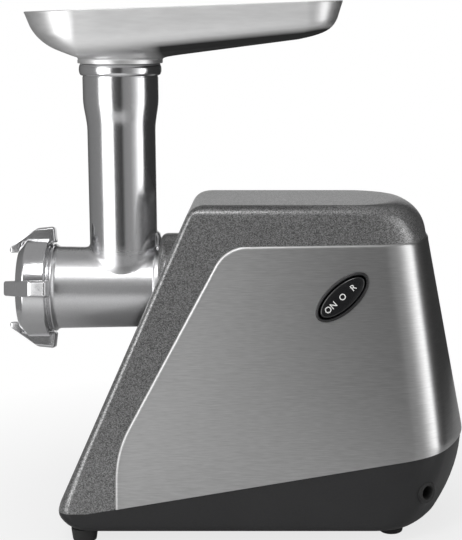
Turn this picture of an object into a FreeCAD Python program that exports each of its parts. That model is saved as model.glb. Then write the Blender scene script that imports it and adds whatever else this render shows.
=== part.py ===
import FreeCAD, Part
import math
import os

# Electric meat grinder, in millimetres. +Z is up, the grinding head points to -X and the
# switch is on the -Y side. The origin is on the table, under the middle of the machine.

V = FreeCAD.Vector
X_AXIS = V(1, 0, 0)
Y_AXIS = V(0, 1, 0)
Z_AXIS = V(0, 0, 1)
SIDES = (-1, 1)

# Tapered body, shared by the housing shell, the base pan and the steel wrap
FOOT_STAND = 9.0
BASE_HALF_WIDTH = 75.0
SIDE_LEAN = 7.4
TOE_X = -118.5
TOE_HEIGHT = 15.0
FRONT_LEAN = 24.1
REAR_KINK_X = 158.0
REAR_KINK_HEIGHT = 55.0
REAR_LEAN = 11.0
REAR_BELLY = 165.0
BELLY_STEPS = 4
FRONT_ROUND_LOW = 12.0
FRONT_ROUND_TOP = 5.0
REAR_ROUND = 30.0
REAR_BOW = 104.0
FRONT_TOP_ROUND = 14.0
REAR_TOP_ROUND = 24.0
SIDE_TOP_ROUND = 8.0
BASE_CHAMFER = 4.0
ROUND_STEPS = 6
TOP_OVER_AXIS = 63.3
SHELL_WALL = 2.8
BASE_WALL = 3.0

# Seam between the base pan and the housing: level at the toe, then rising to the rear
SEAM_TOE_HEIGHT = 12.5
SEAM_LEVEL_LENGTH = 19.5
SEAM_RISE = 9.3

# Steel wrap round both sides and the rear
WRAP_THICKNESS = 0.8
WRAP_GAP = 0.1
WRAP_FROM_TOE = 39.2
WRAP_UPRIGHT = 38.0
WRAP_FRONT_LEAN = 28.4
WRAP_TOP_BELOW_TOP = 26.5
WRAP_TOP_RISE = 0.8
WRAP_LOW_ROUND = 73.0
WRAP_TOP_ROUND = 24.0

# Gear train from the motor up to the auger
PRESSURE_ANGLE = 25.0
ROOT_DEPTH = 1.25
FLANK_POINTS = 5
BACKLASH = 0.2
PINION_TEETH = 12
MOTOR_MODULE, FIRST_TEETH = 0.9, 60
FIRST_MODULE, SECOND_TEETH = 1.2, 48
SECOND_MODULE, OUTPUT_TEETH = 1.5, 42
FIRST_OFFSET = -6.0
SECOND_OFFSET = 16.0
OUTPUT_WIDTH = 14.0
SECOND_WIDTH = 10.0
FIRST_WIDTH = 7.0
GEAR_GAP = 1.5
MOTOR_SHAFT_RADIUS = 3.2
FIRST_SHAFT_RADIUS = 4.0
SECOND_SHAFT_RADIUS = 5.0
OUTPUT_SHAFT_RADIUS = 14.0
OUTPUT_TAIL_RADIUS = 8.0
SPACER_WALL = 2.0
RUNNING_FIT = 0.05
BUSH_WALL = 3.0
GEARBOX_WALL = 3.0
GEARBOX_COVER = 4.0
GEARBOX_TIP_ROOM = 2.5
GEARBOX_EAR_RADIUS = 5.0
GEARBOX_BOSS_HEIGHT = 3.0
GEARBOX_EAR_PLACES = ((1, 345), (2, 180), (3, 215), (3, 325))

# Universal motor
STATOR_RADIUS = 36.0
STATOR_LENGTH = 40.0
MOTOR_LIFT = 10.4
AIR_GAP = 0.7
COIL_THICKNESS = 8.0
COIL_OVERHANG = 7.0
COIL_SPREAD = 52.0
POLE_SPREAD = 34.0
COIL_ROOM = 0.3
COIL_CLEARANCE = 1.6
FAN_RADIUS = 26.0
FAN_LENGTH = 10.0
FAN_GAP = 3.0
FAN_BLADES = 11
FAN_BLADE = 1.6
WINDING_INSET = 3.3
WINDING_LENGTH = 6.0
COMMUTATOR_RADIUS = 11.0
COMMUTATOR_LENGTH = 14.0
COMMUTATOR_BARS = 24
BRACKET_WALL = 4.0
BRACKET_ARM = 16.0
MOTOR_BEARING_RADIUS = 9.5
MOTOR_BEARING_LENGTH = 7.0
MOTOR_BOLT_RADIUS = 2.0
BRUSH_WIDTH = 6.0
BRUSH_LENGTH = 13.0
BRUSH_SPRING_WIRE = 0.7
BRUSH_HOLDER_WALL = 1.0
CRADLE_HALF_WIDTH = 27.0
CRADLE_MARGIN = 5.0

# Grinding head
COLLAR_SET_BACK = 4.5
COLLAR_RADIUS = 38.0
COLLAR_EDGE = 5.0
SOCKET_DEPTH = 22.4
SOCKET_FLANGE_RIM = 4.0
SOCKET_FLANGE = 3.5
SOCKET_EAR_ANGLES = (50, 130, 200)
OPENING_GAP = 0.3
BARREL_LENGTH = 93.0
BARREL_FRONT_RADIUS = 28.6
BARREL_REAR_RADIUS = 27.4
BORE_RADIUS = 23.5
BARREL_REAR_WALL = 5.6
FLANGE_RADIUS = 31.0
FLANGE_THICKNESS = 3.0
SPIGOT_RADIUS = 25.0
SPIGOT_LENGTH = 18.0
SPIGOT_FIT = 0.1
THREAD_RADIUS = 30.5
THREAD_LENGTH = 22.0
THREAD_PITCH = 3.0
THREAD_DEPTH = 1.2
THREAD_FIT = 0.1
TUBE_SET_FORWARD = 25.8
TUBE_RADIUS = 23.3
TUBE_BORE = 19.6
FLARE_LOW = 115.3
FLARE_LENGTH = 15.0
FLARE_RADIUS = 25.8
MOUTH_BORE = 22.4
BEAD_RADIUS = 28.1
BEAD_HEIGHT = 8.2
TUBE_TOP = 155.3
GUSSET_WIDTH = 10.0
GUSSET_RISE = 12.0

# Cutting set
PLATE_RADIUS = 27.0
PLATE_THICKNESS = 6.0
PLATE_PROUD = 1.4
PLATE_FIT = 0.1
PLATE_HOLE_RADIUS = 2.3
PLATE_RINGS = ((6, 8.6), (12, 15.2), (18, 21.6))
SHOULDER_GAP = 0.6
KEY_RADIUS = 1.5
KEY_FIT = 0.3
KEY_LENGTH = 6.0
STUB_RADIUS = 4.0
STUB_FIT = 0.06
BLADE_THICKNESS = 5.5
BLADE_RADIUS = 22.5
BLADE_HUB_RADIUS = 8.0
BLADE_ARM = 7.0
BLADE_ARMS = 4
FACE_GAP = 0.05
SQUARE_DRIVE = 8.0
SQUARE_FIT = 0.1
AUGER_RADIUS = 22.8
AUGER_CORE_FRONT = 8.5
AUGER_CORE_REAR = 12.0
AUGER_PITCH = 24.0
AUGER_FLIGHT = 5.0
AUGER_SHOULDER_RADIUS = 20.0
AUGER_SHOULDER = 3.0
AUGER_SHAFT_RADIUS = 7.0
WASHER_THICKNESS = 2.0
COUPLING_LENGTH = 16.0
COUPLING_FLATS = 17.0
COUPLING_FIT = 0.15
TENON_LENGTH = 9.0

# Ring nut
NUT_RADIUS = 33.4
NUT_LENGTH = 20.5
NUT_LIP = 3.0
NUT_LIP_BORE = 24.0
LUG_COUNT = 4
LUG_TURN = -9.0
LUG_RADIUS = 42.5
LUG_TIP_RADIUS = 27.5
LUG_REACH = 8.0
LUG_WIDTH = 12.0
LUG_OVERHANG = 3.8
LUG_CREST = 9.0
LUG_TIP_DEPTH = 3.5

# Hopper tray
TRAY_FRONT = 59.0
TRAY_REAR = 149.5
TRAY_HALF_WIDTH = 67.0
TRAY_FRONT_ROUND = 38.0
TRAY_REAR_ROUND = 24.0
TRAY_SHEET = 1.2
TRAY_RIM_RISE = 36.4
TRAY_RIM_SLOPE = 2.0
TRAY_FLOOR_RISE = 6.4
TRAY_FLOOR_SLOPE = 5.2
TRAY_NOSE_SLOPE = 23.8
TRAY_FLOOR_INSET = 13.0
TRAY_WALL_RISE = 11.0
TRAY_WALL_INSET = 5.5
TRAY_NECK_RADIUS = 28.9
TRAY_NECK_HEIGHT = 4.0
TRAY_SPIGOT_LENGTH = 20.0
TRAY_SPIGOT_FIT = 0.2
TRAY_THROAT = 20.4

# Head lock
LOCK_ANGLE = 10.0
LOCK_PIN_REACH = 28.0
LOCK_PIN_RADIUS = 1.8
LOCK_PIN_FIT = 0.2
LOCK_BUTTON_OUTSIDE = 6.0
LOCK_BUTTON_RADIUS = 5.0
LOCK_BUTTON_PROUD = 7.0
LOCK_TRAVEL = 4.0
LOCK_ENGAGEMENT = 2.0
LOCK_ARM = 3.0
LOCK_ARM_WIDTH = 5.0
LOCK_PIN_LENGTH = 8.4
LOCK_SPRING_RADIUS = 3.6
LOCK_SPRING_WIRE = 0.8
SPRING_TURNS = 4

# Rocker switch on the near side
SWITCH_FROM_REAR = 66.5
SWITCH_BELOW_WRAP_TOP = 33.0
SWITCH_TURN = 42.0
BEZEL_LENGTH, BEZEL_WIDTH = 44.0, 21.0
BEZEL_PROUD = 2.2
BEZEL_RIM = 2.0
BEZEL_COLLAR_WALL = 1.0
BEZEL_DEPTH = 9.5
ROCKER_GAP = 0.5
ROCKER_TAPER = 1.3
ROCKER_PROUD = 2.6
ROCKER_PIVOT_DEPTH = 4.0
ROCKER_TAIL = 2.0
ROCKER_TAIL_INSET = 3.0
ROCKER_PIN_RADIUS = 1.2
SWITCH_BODY_LENGTH, SWITCH_BODY_WIDTH, SWITCH_BODY_DEPTH = 30.0, 14.0, 16.0
TERMINAL_WIDTH, TERMINAL_THICKNESS, TERMINAL_LENGTH = 4.8, 0.8, 8.0
TERMINAL_COUNT = 4

# Feet, fasteners and wiring in the base
FOOT_FROM_TOE = 17.0
FOOT_FROM_REAR = 33.0
FRONT_FOOT_FROM_SIDE = 13.0
REAR_FOOT_FROM_SIDE = 29.0
FOOT_RADIUS = 9.0
FOOT_TAPER = 1.2
SCREW_RADIUS = 1.7
SCREW_HEAD_RADIUS = 3.4
SCREW_HEAD = 2.4
SCREW_BITE = 12.0
SCREW_FIT = 0.05
HEAD_FIT = 0.3
POST_RADIUS = 4.5
POST_HEIGHT = 40.0
POST_FROM_TOE = 43.0
POST_FROM_REAR = 60.0
VENT_COUNT = 7
VENT_WIDTH = 3.0
VENT_LENGTH = 36.0
VENT_PITCH = 7.0
GLAND_ANGLE = 50.0
GLAND_HEIGHT = 25.0
GLAND_RADIUS = 7.5
GLAND_BORE = 4.5
GLAND_LENGTH = 14.0
GLAND_LIP = 1.5
BLOCK_LENGTH, BLOCK_WIDTH, BLOCK_HEIGHT = 30.0, 14.0, 14.0
BLOCK_POLES = 3
WIRE_RADIUS = 1.1
WIRE_BEND = 6.0
OVERSHOOT = 1.0


def tan_deg(angle):
    return math.tan(math.radians(angle))


def cos_deg(angle):
    return math.cos(math.radians(angle))


def sin_deg(angle):
    return math.sin(math.radians(angle))


# Levels and stations worked out from the driving dimensions
BASE_BOTTOM = FOOT_STAND
BASE_FLOOR = BASE_BOTTOM + BASE_WALL
TOE_TOP = BASE_BOTTOM + TOE_HEIGHT
KINK_Z = BASE_BOTTOM + REAR_KINK_HEIGHT
MOTOR_Z = BASE_FLOOR + MOTOR_LIFT + STATOR_RADIUS


def centre_distance(module, teeth):
    return module * (PINION_TEETH + teeth) / 2


def next_shaft(start, module, teeth, offset):
    spacing = centre_distance(module, teeth)
    return start[0] + offset, start[1] + math.sqrt(spacing ** 2 - offset ** 2)


MOTOR_SHAFT = (0.0, MOTOR_Z)
FIRST_SHAFT = next_shaft(MOTOR_SHAFT, MOTOR_MODULE, FIRST_TEETH, FIRST_OFFSET)
SECOND_SHAFT = next_shaft(FIRST_SHAFT, FIRST_MODULE, SECOND_TEETH, SECOND_OFFSET)
OUTPUT_SHAFT = next_shaft(
    SECOND_SHAFT, SECOND_MODULE, OUTPUT_TEETH, -SECOND_SHAFT[0])
AXIS_Z = OUTPUT_SHAFT[1]
TOP_Z = AXIS_Z + TOP_OVER_AXIS


def half_width(z):
    return BASE_HALF_WIDTH - (z - BASE_BOTTOM) * tan_deg(SIDE_LEAN)


def front_x(z):
    return TOE_X + max(0.0, z - TOE_TOP) * tan_deg(FRONT_LEAN)


def rear_x(z):
    """Rear of the body: bellied below the kink, leaning forwards above it."""
    if z < KINK_Z:
        return REAR_KINK_X - (KINK_Z - z) ** 2 / REAR_BELLY
    return REAR_KINK_X - (z - KINK_Z) * tan_deg(REAR_LEAN)


def front_round(z):
    share = (z - BASE_BOTTOM) / (TOP_Z - BASE_BOTTOM)
    return FRONT_ROUND_LOW + (FRONT_ROUND_TOP - FRONT_ROUND_LOW) * share


def seam_z(x):
    level = BASE_BOTTOM + SEAM_TOE_HEIGHT
    return level + max(0.0, x - TOE_X - SEAM_LEVEL_LENGTH) * tan_deg(SEAM_RISE)


SOCKET_FRONT = front_x(AXIS_Z) + COLLAR_SET_BACK
GEARBOX_FRONT = SOCKET_FRONT + SOCKET_DEPTH
OUTPUT_X = GEARBOX_FRONT + GEARBOX_WALL + GEAR_GAP
SECOND_X = OUTPUT_X + OUTPUT_WIDTH + GEAR_GAP
FIRST_X = SECOND_X + SECOND_WIDTH + GEAR_GAP
COVER_X = FIRST_X + FIRST_WIDTH + GEAR_GAP
COVER_REAR = COVER_X + GEARBOX_COVER
FAN_X = COVER_REAR + FAN_GAP
STATOR_X = FAN_X + FAN_LENGTH + FAN_GAP + COIL_OVERHANG
STATOR_REAR = STATOR_X + STATOR_LENGTH
COMMUTATOR_X = STATOR_REAR + COIL_OVERHANG + FAN_GAP
BRACKET_REAR_X = COMMUTATOR_X + COMMUTATOR_LENGTH + FAN_GAP
BRUSH_X = COMMUTATOR_X + COMMUTATOR_LENGTH / 2
SPIGOT_REAR = SOCKET_FRONT + SPIGOT_LENGTH
BARREL_FRONT = SOCKET_FRONT - BARREL_LENGTH
BORE_END = SOCKET_FRONT - BARREL_REAR_WALL
PLATE_FRONT = BARREL_FRONT - PLATE_PROUD
PLATE_REAR = PLATE_FRONT + PLATE_THICKNESS
BLADE_FRONT = PLATE_REAR + FACE_GAP
AUGER_FRONT = BLADE_FRONT + BLADE_THICKNESS
WASHER_X = BORE_END - WASHER_THICKNESS
NUT_FRONT = PLATE_FRONT - NUT_LIP
NUT_REAR = NUT_FRONT + NUT_LENGTH
TUBE_X = SOCKET_FRONT - TUBE_SET_FORWARD
SOCKET_FLANGE_RADIUS = COLLAR_RADIUS + SOCKET_FLANGE_RIM
SOCKET_EAR_REACH = COLLAR_RADIUS + SCREW_HEAD_RADIUS + 2 * HEAD_FIT
LOCK_BUTTON_REACH = COLLAR_RADIUS + LOCK_BUTTON_OUTSIDE
LOCK_ARM_X = SOCKET_FRONT - LOCK_ENGAGEMENT + LOCK_PIN_LENGTH
TUBE_TOP_Z = AXIS_Z + TUBE_TOP
FAR = 2 * (abs(NUT_FRONT) + REAR_KINK_X)


def rod(x0, x1, radius, y, z):
    return Part.makeCylinder(radius, x1 - x0, V(x0, y, z), X_AXIS)


def drilled(shape, x0, x1, radius, y, z):
    """The shape with a hole along X that runs a little past both ends."""
    return shape.cut(rod(x0 - OVERSHOOT, x1 + OVERSHOOT, radius, y, z))


def sleeve(x0, x1, outer, inner, y, z):
    return drilled(rod(x0, x1, outer, y, z), x0, x1, inner, y, z)


def post(x, y, z0, z1, radius):
    return Part.makeCylinder(radius, z1 - z0, V(x, y, z0))


def block(x0, x1, y0, y1, z0, z1):
    return Part.makeBox(x1 - x0, y1 - y0, z1 - z0, V(x0, y0, z0))


def turned(outline):
    """Solid turned about the drive axis from an outline of (x, radius) points."""
    points = [V(x, 0, AXIS_Z + radius) for x, radius in outline]
    face = Part.Face(Part.makePolygon(points + points[:1]))
    return face.revolve(V(0, 0, AXIS_Z), X_AXIS, 360)


def about_drive(shape, angle):
    turn = shape.copy()
    turn.rotate(V(0, 0, AXIS_Z), X_AXIS, angle)
    return turn


def rounded_path(corners, closed):
    """Lines through (point, radius) corners, each corner rounded by a tangent arc."""
    count = len(corners)
    stops = []
    for index, (corner, radius) in enumerate(corners):
        at_end = not closed and index in (0, count - 1)
        if at_end or radius == 0:
            stops.append((corner, corner, corner))
            continue
        towards = (corner - corners[index - 1][0]).normalize()
        away = (corners[(index + 1) % count][0] - corner).normalize()
        turn = towards.getAngle(away)
        reach = radius * math.tan(turn / 2)
        inward = (away - towards).normalize()
        middle = corner + inward * (radius / math.cos(turn / 2) - radius)
        stops.append((corner - towards * reach, middle, corner + away * reach))
    edges = []
    for index, (start, middle, end) in enumerate(stops):
        if start != end:
            edges.append(Part.Arc(start, middle, end).toShape())
        if index + 1 < count or closed:
            edges.append(Part.LineSegment(end, stops[(index + 1) % count][0]).toShape())
    return Part.Wire(edges)


def side_prism(corners, y0, y1):
    """Side-view outline of ((x, z), radius) corners, drawn across from y0 to y1."""
    wire = rounded_path([(V(x, y0, z), radius) for (x, z), radius in corners], True)
    return Part.Face(wire).extrude(V(0, y1 - y0, 0))


def arc(centre, radius, start, end, z):
    points = []
    for angle in (start, (start + end) / 2, end):
        x = centre[0] + radius * cos_deg(angle)
        y = centre[1] + radius * sin_deg(angle)
        points.append(V(x, y, z))
    return Part.Arc(*points).toShape()


def line(start, end, z):
    return Part.LineSegment(V(start[0], start[1], z), V(end[0], end[1], z)).toShape()


def rear_corner(tail, half, bow, rounding):
    """Centre of the rear corner arc, and the angle where it meets the bowed rear."""
    reach = bow - rounding
    out = half - rounding
    x = tail - bow + math.sqrt(reach ** 2 - out ** 2)
    return (x, out), math.degrees(math.asin(out / reach))


def body_section(z, grow, front_in, rear_in, side_in):
    nose = front_x(z) - grow / cos_deg(FRONT_LEAN) + front_in
    tail = rear_x(z) + grow / cos_deg(REAR_LEAN) - rear_in
    half = half_width(z) + grow / cos_deg(SIDE_LEAN) - side_in
    front = front_round(z) + grow
    rounding = REAR_ROUND + grow
    bow = REAR_BOW + grow
    (corner_x, out), meet = rear_corner(tail, half, bow, rounding)
    edges = [
        line((nose + front, -half), (corner_x, -half), z),
        arc((corner_x, -out), rounding, -90, -meet, z),
        arc((tail - bow, 0), bow, -meet, meet, z),
        arc((corner_x, out), rounding, meet, 90, z),
        line((corner_x, half), (nose + front, half), z),
        arc((nose + front, half - front), front, 90, 180, z),
        line((nose, half - front), (nose, front - half), z),
        arc((nose + front, front - half), front, 180, 270, z),
    ]
    return Part.Wire(edges)


def edge_inset(radius, lean, depth):
    """How far a rounded top edge stands back from its leaning wall, below the top."""
    if depth >= radius * (1 - sin_deg(lean)):
        return 0.0
    inner = radius - depth
    return (radius / cos_deg(lean) - inner * tan_deg(lean)
            - math.sqrt(radius ** 2 - inner ** 2))


def body_solid(grow):
    """The tapered body with every wall moved outwards by grow."""
    top = TOP_Z + grow
    bottom = BASE_BOTTOM - grow
    rounds = ((FRONT_TOP_ROUND + grow, FRONT_LEAN),
              (REAR_TOP_ROUND + grow, REAR_LEAN),
              (SIDE_TOP_ROUND + grow, SIDE_LEAN))
    chamfer = (BASE_CHAMFER,) * 3
    wires = [body_section(bottom, grow, *chamfer)]
    belly = [TOE_TOP + (KINK_Z - TOE_TOP) * step / BELLY_STEPS for step in range(BELLY_STEPS + 1)]
    for z in (bottom + BASE_CHAMFER, *belly):
        wires.append(body_section(z, grow, 0, 0, 0))
    deepest = max(radius * (1 - sin_deg(lean)) for radius, lean in rounds)
    for step in range(ROUND_STEPS + 1):
        depth = deepest * (1 - sin_deg(90 * step / ROUND_STEPS))
        insets = [edge_inset(radius, lean, depth) for radius, lean in rounds]
        wires.append(body_section(top - depth, grow, *insets))
    return Part.makeLoft(wires, True, True)


def seam_prism(above, lift):
    """Everything above or below the seam between base and housing."""
    end = FAR if above else -FAR
    break_x = TOE_X + SEAM_LEVEL_LENGTH
    outline = [((-FAR, seam_z(-FAR) + lift), 0), ((break_x, seam_z(break_x) + lift), 0),
               ((FAR, seam_z(FAR) + lift), 0), ((FAR, end), 0), ((-FAR, end), 0)]
    return side_prism(outline, -FAR, FAR)


def switch_frame():
    """Placement of the switch: its length along local X, its face towards local Z."""
    z = TOP_Z - WRAP_TOP_BELOW_TOP - SWITCH_BELOW_WRAP_TOP
    x = rear_x(z) - SWITCH_FROM_REAR
    outward = V(0, -cos_deg(SIDE_LEAN), sin_deg(SIDE_LEAN))
    upward = V(0, sin_deg(SIDE_LEAN), cos_deg(SIDE_LEAN))
    along = X_AXIS * cos_deg(SWITCH_TURN) + upward * sin_deg(SWITCH_TURN)
    face = WRAP_GAP + WRAP_THICKNESS
    origin = V(x, -half_width(z), z) + outward * face
    return FreeCAD.Placement(origin, FreeCAD.Rotation(along, outward.cross(along), outward, "ZXY"))


def oval(length, width, z):
    ellipse = Part.Ellipse(V(0, 0, z), length / 2, width / 2)
    return Part.Wire(ellipse.toShape())


def oval_prism(length, width, z0, z1):
    return Part.Face(oval(length, width, z0)).extrude(V(0, 0, z1 - z0))


def placed(shape, placement):
    moved = shape.copy()
    moved.Placement = placement.multiply(moved.Placement)
    return moved


COLLAR_LENGTH = BEZEL_LENGTH - 2 * BEZEL_RIM
COLLAR_WIDTH = BEZEL_WIDTH - 2 * BEZEL_RIM
WINDOW_LENGTH = COLLAR_LENGTH - 2 * BEZEL_COLLAR_WALL
WINDOW_WIDTH = COLLAR_WIDTH - 2 * BEZEL_COLLAR_WALL


def switch_cut():
    hole = oval_prism(COLLAR_LENGTH + 2 * HEAD_FIT, COLLAR_WIDTH + 2 * HEAD_FIT,
                      -BEZEL_DEPTH - SWITCH_BODY_DEPTH, BEZEL_DEPTH)
    return placed(hole, switch_frame())


def lock_point(reach):
    return reach * cos_deg(LOCK_ANGLE), AXIS_Z + reach * sin_deg(LOCK_ANGLE)


def screw_posts():
    """Where the base is screwed to the housing: (x, y) of each post."""
    places = []
    for x in (TOE_X + POST_FROM_TOE, REAR_KINK_X - POST_FROM_REAR):
        y = half_width(seam_z(x)) - SHELL_WALL - POST_RADIUS
        places.extend((x, side * y) for side in SIDES)
    return places


def foot_places():
    front = (TOE_X + FOOT_FROM_TOE, BASE_HALF_WIDTH - FRONT_FOOT_FROM_SIDE)
    rear = (rear_x(BASE_BOTTOM) - FOOT_FROM_REAR, BASE_HALF_WIDTH - REAR_FOOT_FROM_SIDE)
    return [(x, side * y) for x, y in (front, rear) for side in SIDES]


def housing_shell(outer, cavity):
    shell = outer.common(seam_prism(True, 0)).cut(cavity)
    for x, y in screw_posts():
        low = seam_z(x + POST_RADIUS)
        stem = post(x, y, low, low + POST_HEIGHT, POST_RADIUS).common(cavity)
        shell = shell.fuse(stem.cut(post(x, y, low - OVERSHOOT, low + SCREW_BITE,
                                         SCREW_RADIUS + SCREW_FIT)))
    opening = rod(TOE_X, GEARBOX_FRONT, COLLAR_RADIUS + OPENING_GAP, 0, AXIS_Z)
    y, z = lock_point(LOCK_BUTTON_REACH)
    lock_hole = rod(TOE_X, GEARBOX_FRONT, LOCK_BUTTON_RADIUS + HEAD_FIT, y, z)
    return shell.cut(opening).cut(lock_hole).cut(switch_cut())


def steel_wrap():
    skin = body_solid(WRAP_GAP + WRAP_THICKNESS).cut(body_solid(WRAP_GAP))
    front = TOE_X + WRAP_FROM_TOE
    turn_z = seam_z(front) + WRAP_UPRIGHT
    top = TOP_Z - WRAP_TOP_BELOW_TOP
    shoulder = front + (top - turn_z) * tan_deg(WRAP_FRONT_LEAN)
    outline = [((front, 0), 0), ((front, turn_z), WRAP_LOW_ROUND),
               ((shoulder, top), WRAP_TOP_ROUND),
               ((FAR, top + (FAR - shoulder) * tan_deg(WRAP_TOP_RISE)), 0), ((FAR, 0), 0)]
    sheet = skin.common(side_prism(outline, -FAR, FAR)).common(seam_prism(True, WRAP_GAP))
    return sheet.cut(switch_cut())


def gland_axis():
    """Point on the rear corner of the base where the cord gland sits, and its direction."""
    z = BASE_BOTTOM + GLAND_HEIGHT
    centre, _ = rear_corner(rear_x(z), half_width(z), REAR_BOW, REAR_ROUND)
    direction = V(cos_deg(GLAND_ANGLE), -sin_deg(GLAND_ANGLE), 0)
    return V(centre[0], -centre[1], z) + direction * REAR_ROUND, direction


def base_pan(outer, cavity):
    below = seam_prism(False, 0)
    pan = outer.common(below).cut(cavity)
    hollow = cavity.common(below)
    for x, y in screw_posts():
        boss = post(x, y, BASE_BOTTOM + OVERSHOOT, FAR, POST_RADIUS + SCREW_FIT)
        pan = pan.fuse(boss.common(hollow))
    for x, y in foot_places():
        pan = pan.fuse(post(x, y, BASE_FLOOR - OVERSHOOT, BASE_FLOOR + SCREW_BITE, POST_RADIUS)
                       .common(outer))
        pan = pan.cut(post(x, y, 0, BASE_FLOOR + SCREW_BITE + OVERSHOOT,
                           SCREW_RADIUS + SCREW_FIT))
    for x, y in screw_posts():
        pan = pan.cut(post(x, y, 0, FAR, SCREW_RADIUS + SCREW_FIT))
        pan = pan.cut(post(x, y, 0, BASE_FLOOR + SCREW_HEAD, SCREW_HEAD_RADIUS + HEAD_FIT))
    middle = (FAN_X + STATOR_X) / 2 - VENT_PITCH * (VENT_COUNT - 1) / 2
    for index in range(VENT_COUNT):
        x = middle + index * VENT_PITCH
        pan = pan.cut(block(x, x + VENT_WIDTH, -VENT_LENGTH / 2, VENT_LENGTH / 2,
                            0, BASE_FLOOR + OVERSHOOT))
    seat, direction = gland_axis()
    bore = Part.makeCylinder(GLAND_RADIUS, 2 * GLAND_LENGTH, seat - direction * GLAND_LENGTH, direction)
    return pan.cut(bore)


def cord_gland():
    seat, direction = gland_axis()
    start = seat - direction * (GLAND_LENGTH - GLAND_LIP)
    bush = Part.makeCylinder(GLAND_RADIUS, GLAND_LENGTH, start, direction)
    return bush.cut(Part.makeCylinder(GLAND_BORE, 3 * GLAND_LENGTH,
                                      seat - direction * 2 * GLAND_LENGTH, direction))


def rubber_foot(x, y):
    foot = Part.makeCone(FOOT_RADIUS - FOOT_TAPER, FOOT_RADIUS, FOOT_STAND, V(x, y, 0))
    hole = post(x, y, 0, FOOT_STAND, SCREW_RADIUS + SCREW_FIT)
    recess = post(x, y, 0, FOOT_STAND / 2, SCREW_HEAD_RADIUS + HEAD_FIT)
    return foot.cut(hole).cut(recess)


def screw(x, y, seat, tip):
    """Pan-head screw driven upwards: its head is below the seat and its tip above."""
    return post(x, y, seat - SCREW_HEAD, seat, SCREW_HEAD_RADIUS).fuse(
        post(x, y, seat - SCREW_HEAD / 2, tip, SCREW_RADIUS))


def foot_screws():
    return [screw(x, y, FOOT_STAND / 2, BASE_FLOOR + SCREW_BITE - OVERSHOOT)
            for x, y in foot_places()]


def housing_screws():
    return [screw(x, y, BASE_FLOOR + SCREW_HEAD, seam_z(x) + SCREW_BITE - OVERSHOOT)
            for x, y in screw_posts()]


def socket_ears():
    """Screw places round the collar, outside it, where the socket is fixed to the gearbox."""
    return [(SOCKET_EAR_REACH * cos_deg(angle), AXIS_Z + SOCKET_EAR_REACH * sin_deg(angle))
            for angle in SOCKET_EAR_ANGLES]


def head_socket():
    edge = COLLAR_EDGE
    rear_bore = OUTPUT_SHAFT_RADIUS + BUSH_WALL + RUNNING_FIT + GEARBOX_WALL + OPENING_GAP
    flange = GEARBOX_FRONT - SOCKET_FLANGE
    inner = SPIGOT_RADIUS + SPIGOT_FIT
    socket = turned([
        (SOCKET_FRONT, inner), (SOCKET_FRONT, COLLAR_RADIUS - edge),
        (SOCKET_FRONT + edge * (1 - cos_deg(45)), COLLAR_RADIUS - edge * (1 - sin_deg(45))),
        (SOCKET_FRONT + edge, COLLAR_RADIUS), (flange, COLLAR_RADIUS),
        (flange, SOCKET_FLANGE_RADIUS), (GEARBOX_FRONT, SOCKET_FLANGE_RADIUS),
        (GEARBOX_FRONT, rear_bore), (SPIGOT_REAR + OPENING_GAP, rear_bore),
        (SPIGOT_REAR + OPENING_GAP, inner)])
    y, z = lock_point(LOCK_BUTTON_REACH)
    socket = socket.fuse(rod(flange, GEARBOX_FRONT, LOCK_BUTTON_RADIUS, y, z))
    for ear_y, ear_z in socket_ears():
        socket = socket.fuse(rod(flange, GEARBOX_FRONT, GEARBOX_EAR_RADIUS, ear_y, ear_z))
        socket = drilled(socket, flange, GEARBOX_FRONT, SCREW_RADIUS + SCREW_FIT, ear_y, ear_z)
    half = LOCK_ARM_WIDTH / 2 + LOCK_PIN_FIT
    slot = block(LOCK_ARM_X - OPENING_GAP, LOCK_ARM_X + LOCK_ARM + LOCK_TRAVEL + OPENING_GAP,
                 LOCK_PIN_REACH - LOCK_PIN_RADIUS - LOCK_PIN_FIT, FAR, AXIS_Z - half, AXIS_Z + half)
    socket = socket.cut(about_drive(slot, LOCK_ANGLE))
    return drilled(socket, SOCKET_FRONT, LOCK_ARM_X, LOCK_PIN_RADIUS + LOCK_PIN_FIT,
                   *lock_point(LOCK_PIN_REACH))


def socket_screws():
    seat = GEARBOX_FRONT - SOCKET_FLANGE
    screws = []
    for y, z in socket_ears():
        head = rod(seat - SCREW_HEAD, seat, SCREW_HEAD_RADIUS, y, z)
        screws.append(head.fuse(rod(seat - SCREW_HEAD / 2, seat + SCREW_BITE, SCREW_RADIUS, y, z)))
    return screws


def lock_button():
    rear = LOCK_ARM_X + LOCK_ARM
    y, z = lock_point(LOCK_BUTTON_REACH)
    pin = rod(SOCKET_FRONT - LOCK_ENGAGEMENT, rear, LOCK_PIN_RADIUS, *lock_point(LOCK_PIN_REACH))
    arm = block(LOCK_ARM_X, rear, LOCK_PIN_REACH, LOCK_BUTTON_REACH,
                AXIS_Z - LOCK_ARM_WIDTH / 2, AXIS_Z + LOCK_ARM_WIDTH / 2)
    cap = rod(front_x(z) - LOCK_BUTTON_PROUD, rear, LOCK_BUTTON_RADIUS, y, z)
    return cap.fuse(about_drive(arm, LOCK_ANGLE)).fuse(pin).removeSplitter()


def coil_spring(start, direction, length, radius, wire, turns):
    """Open coil spring of near-round wire, standing on its start point along a direction."""
    helix = Part.makeHelix((length - 2 * wire) / turns, length - 2 * wire, radius)
    section = [V(radius + wire * cos_deg(angle), 0, wire * sin_deg(angle)) for angle in range(0, 361, 45)]
    spring = Part.Wire(helix).makePipeShell([Part.makePolygon(section)], True, True)
    spring.translate(V(0, 0, wire))
    return placed(spring, FreeCAD.Placement(start, FreeCAD.Rotation(Z_AXIS, direction)))


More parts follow.
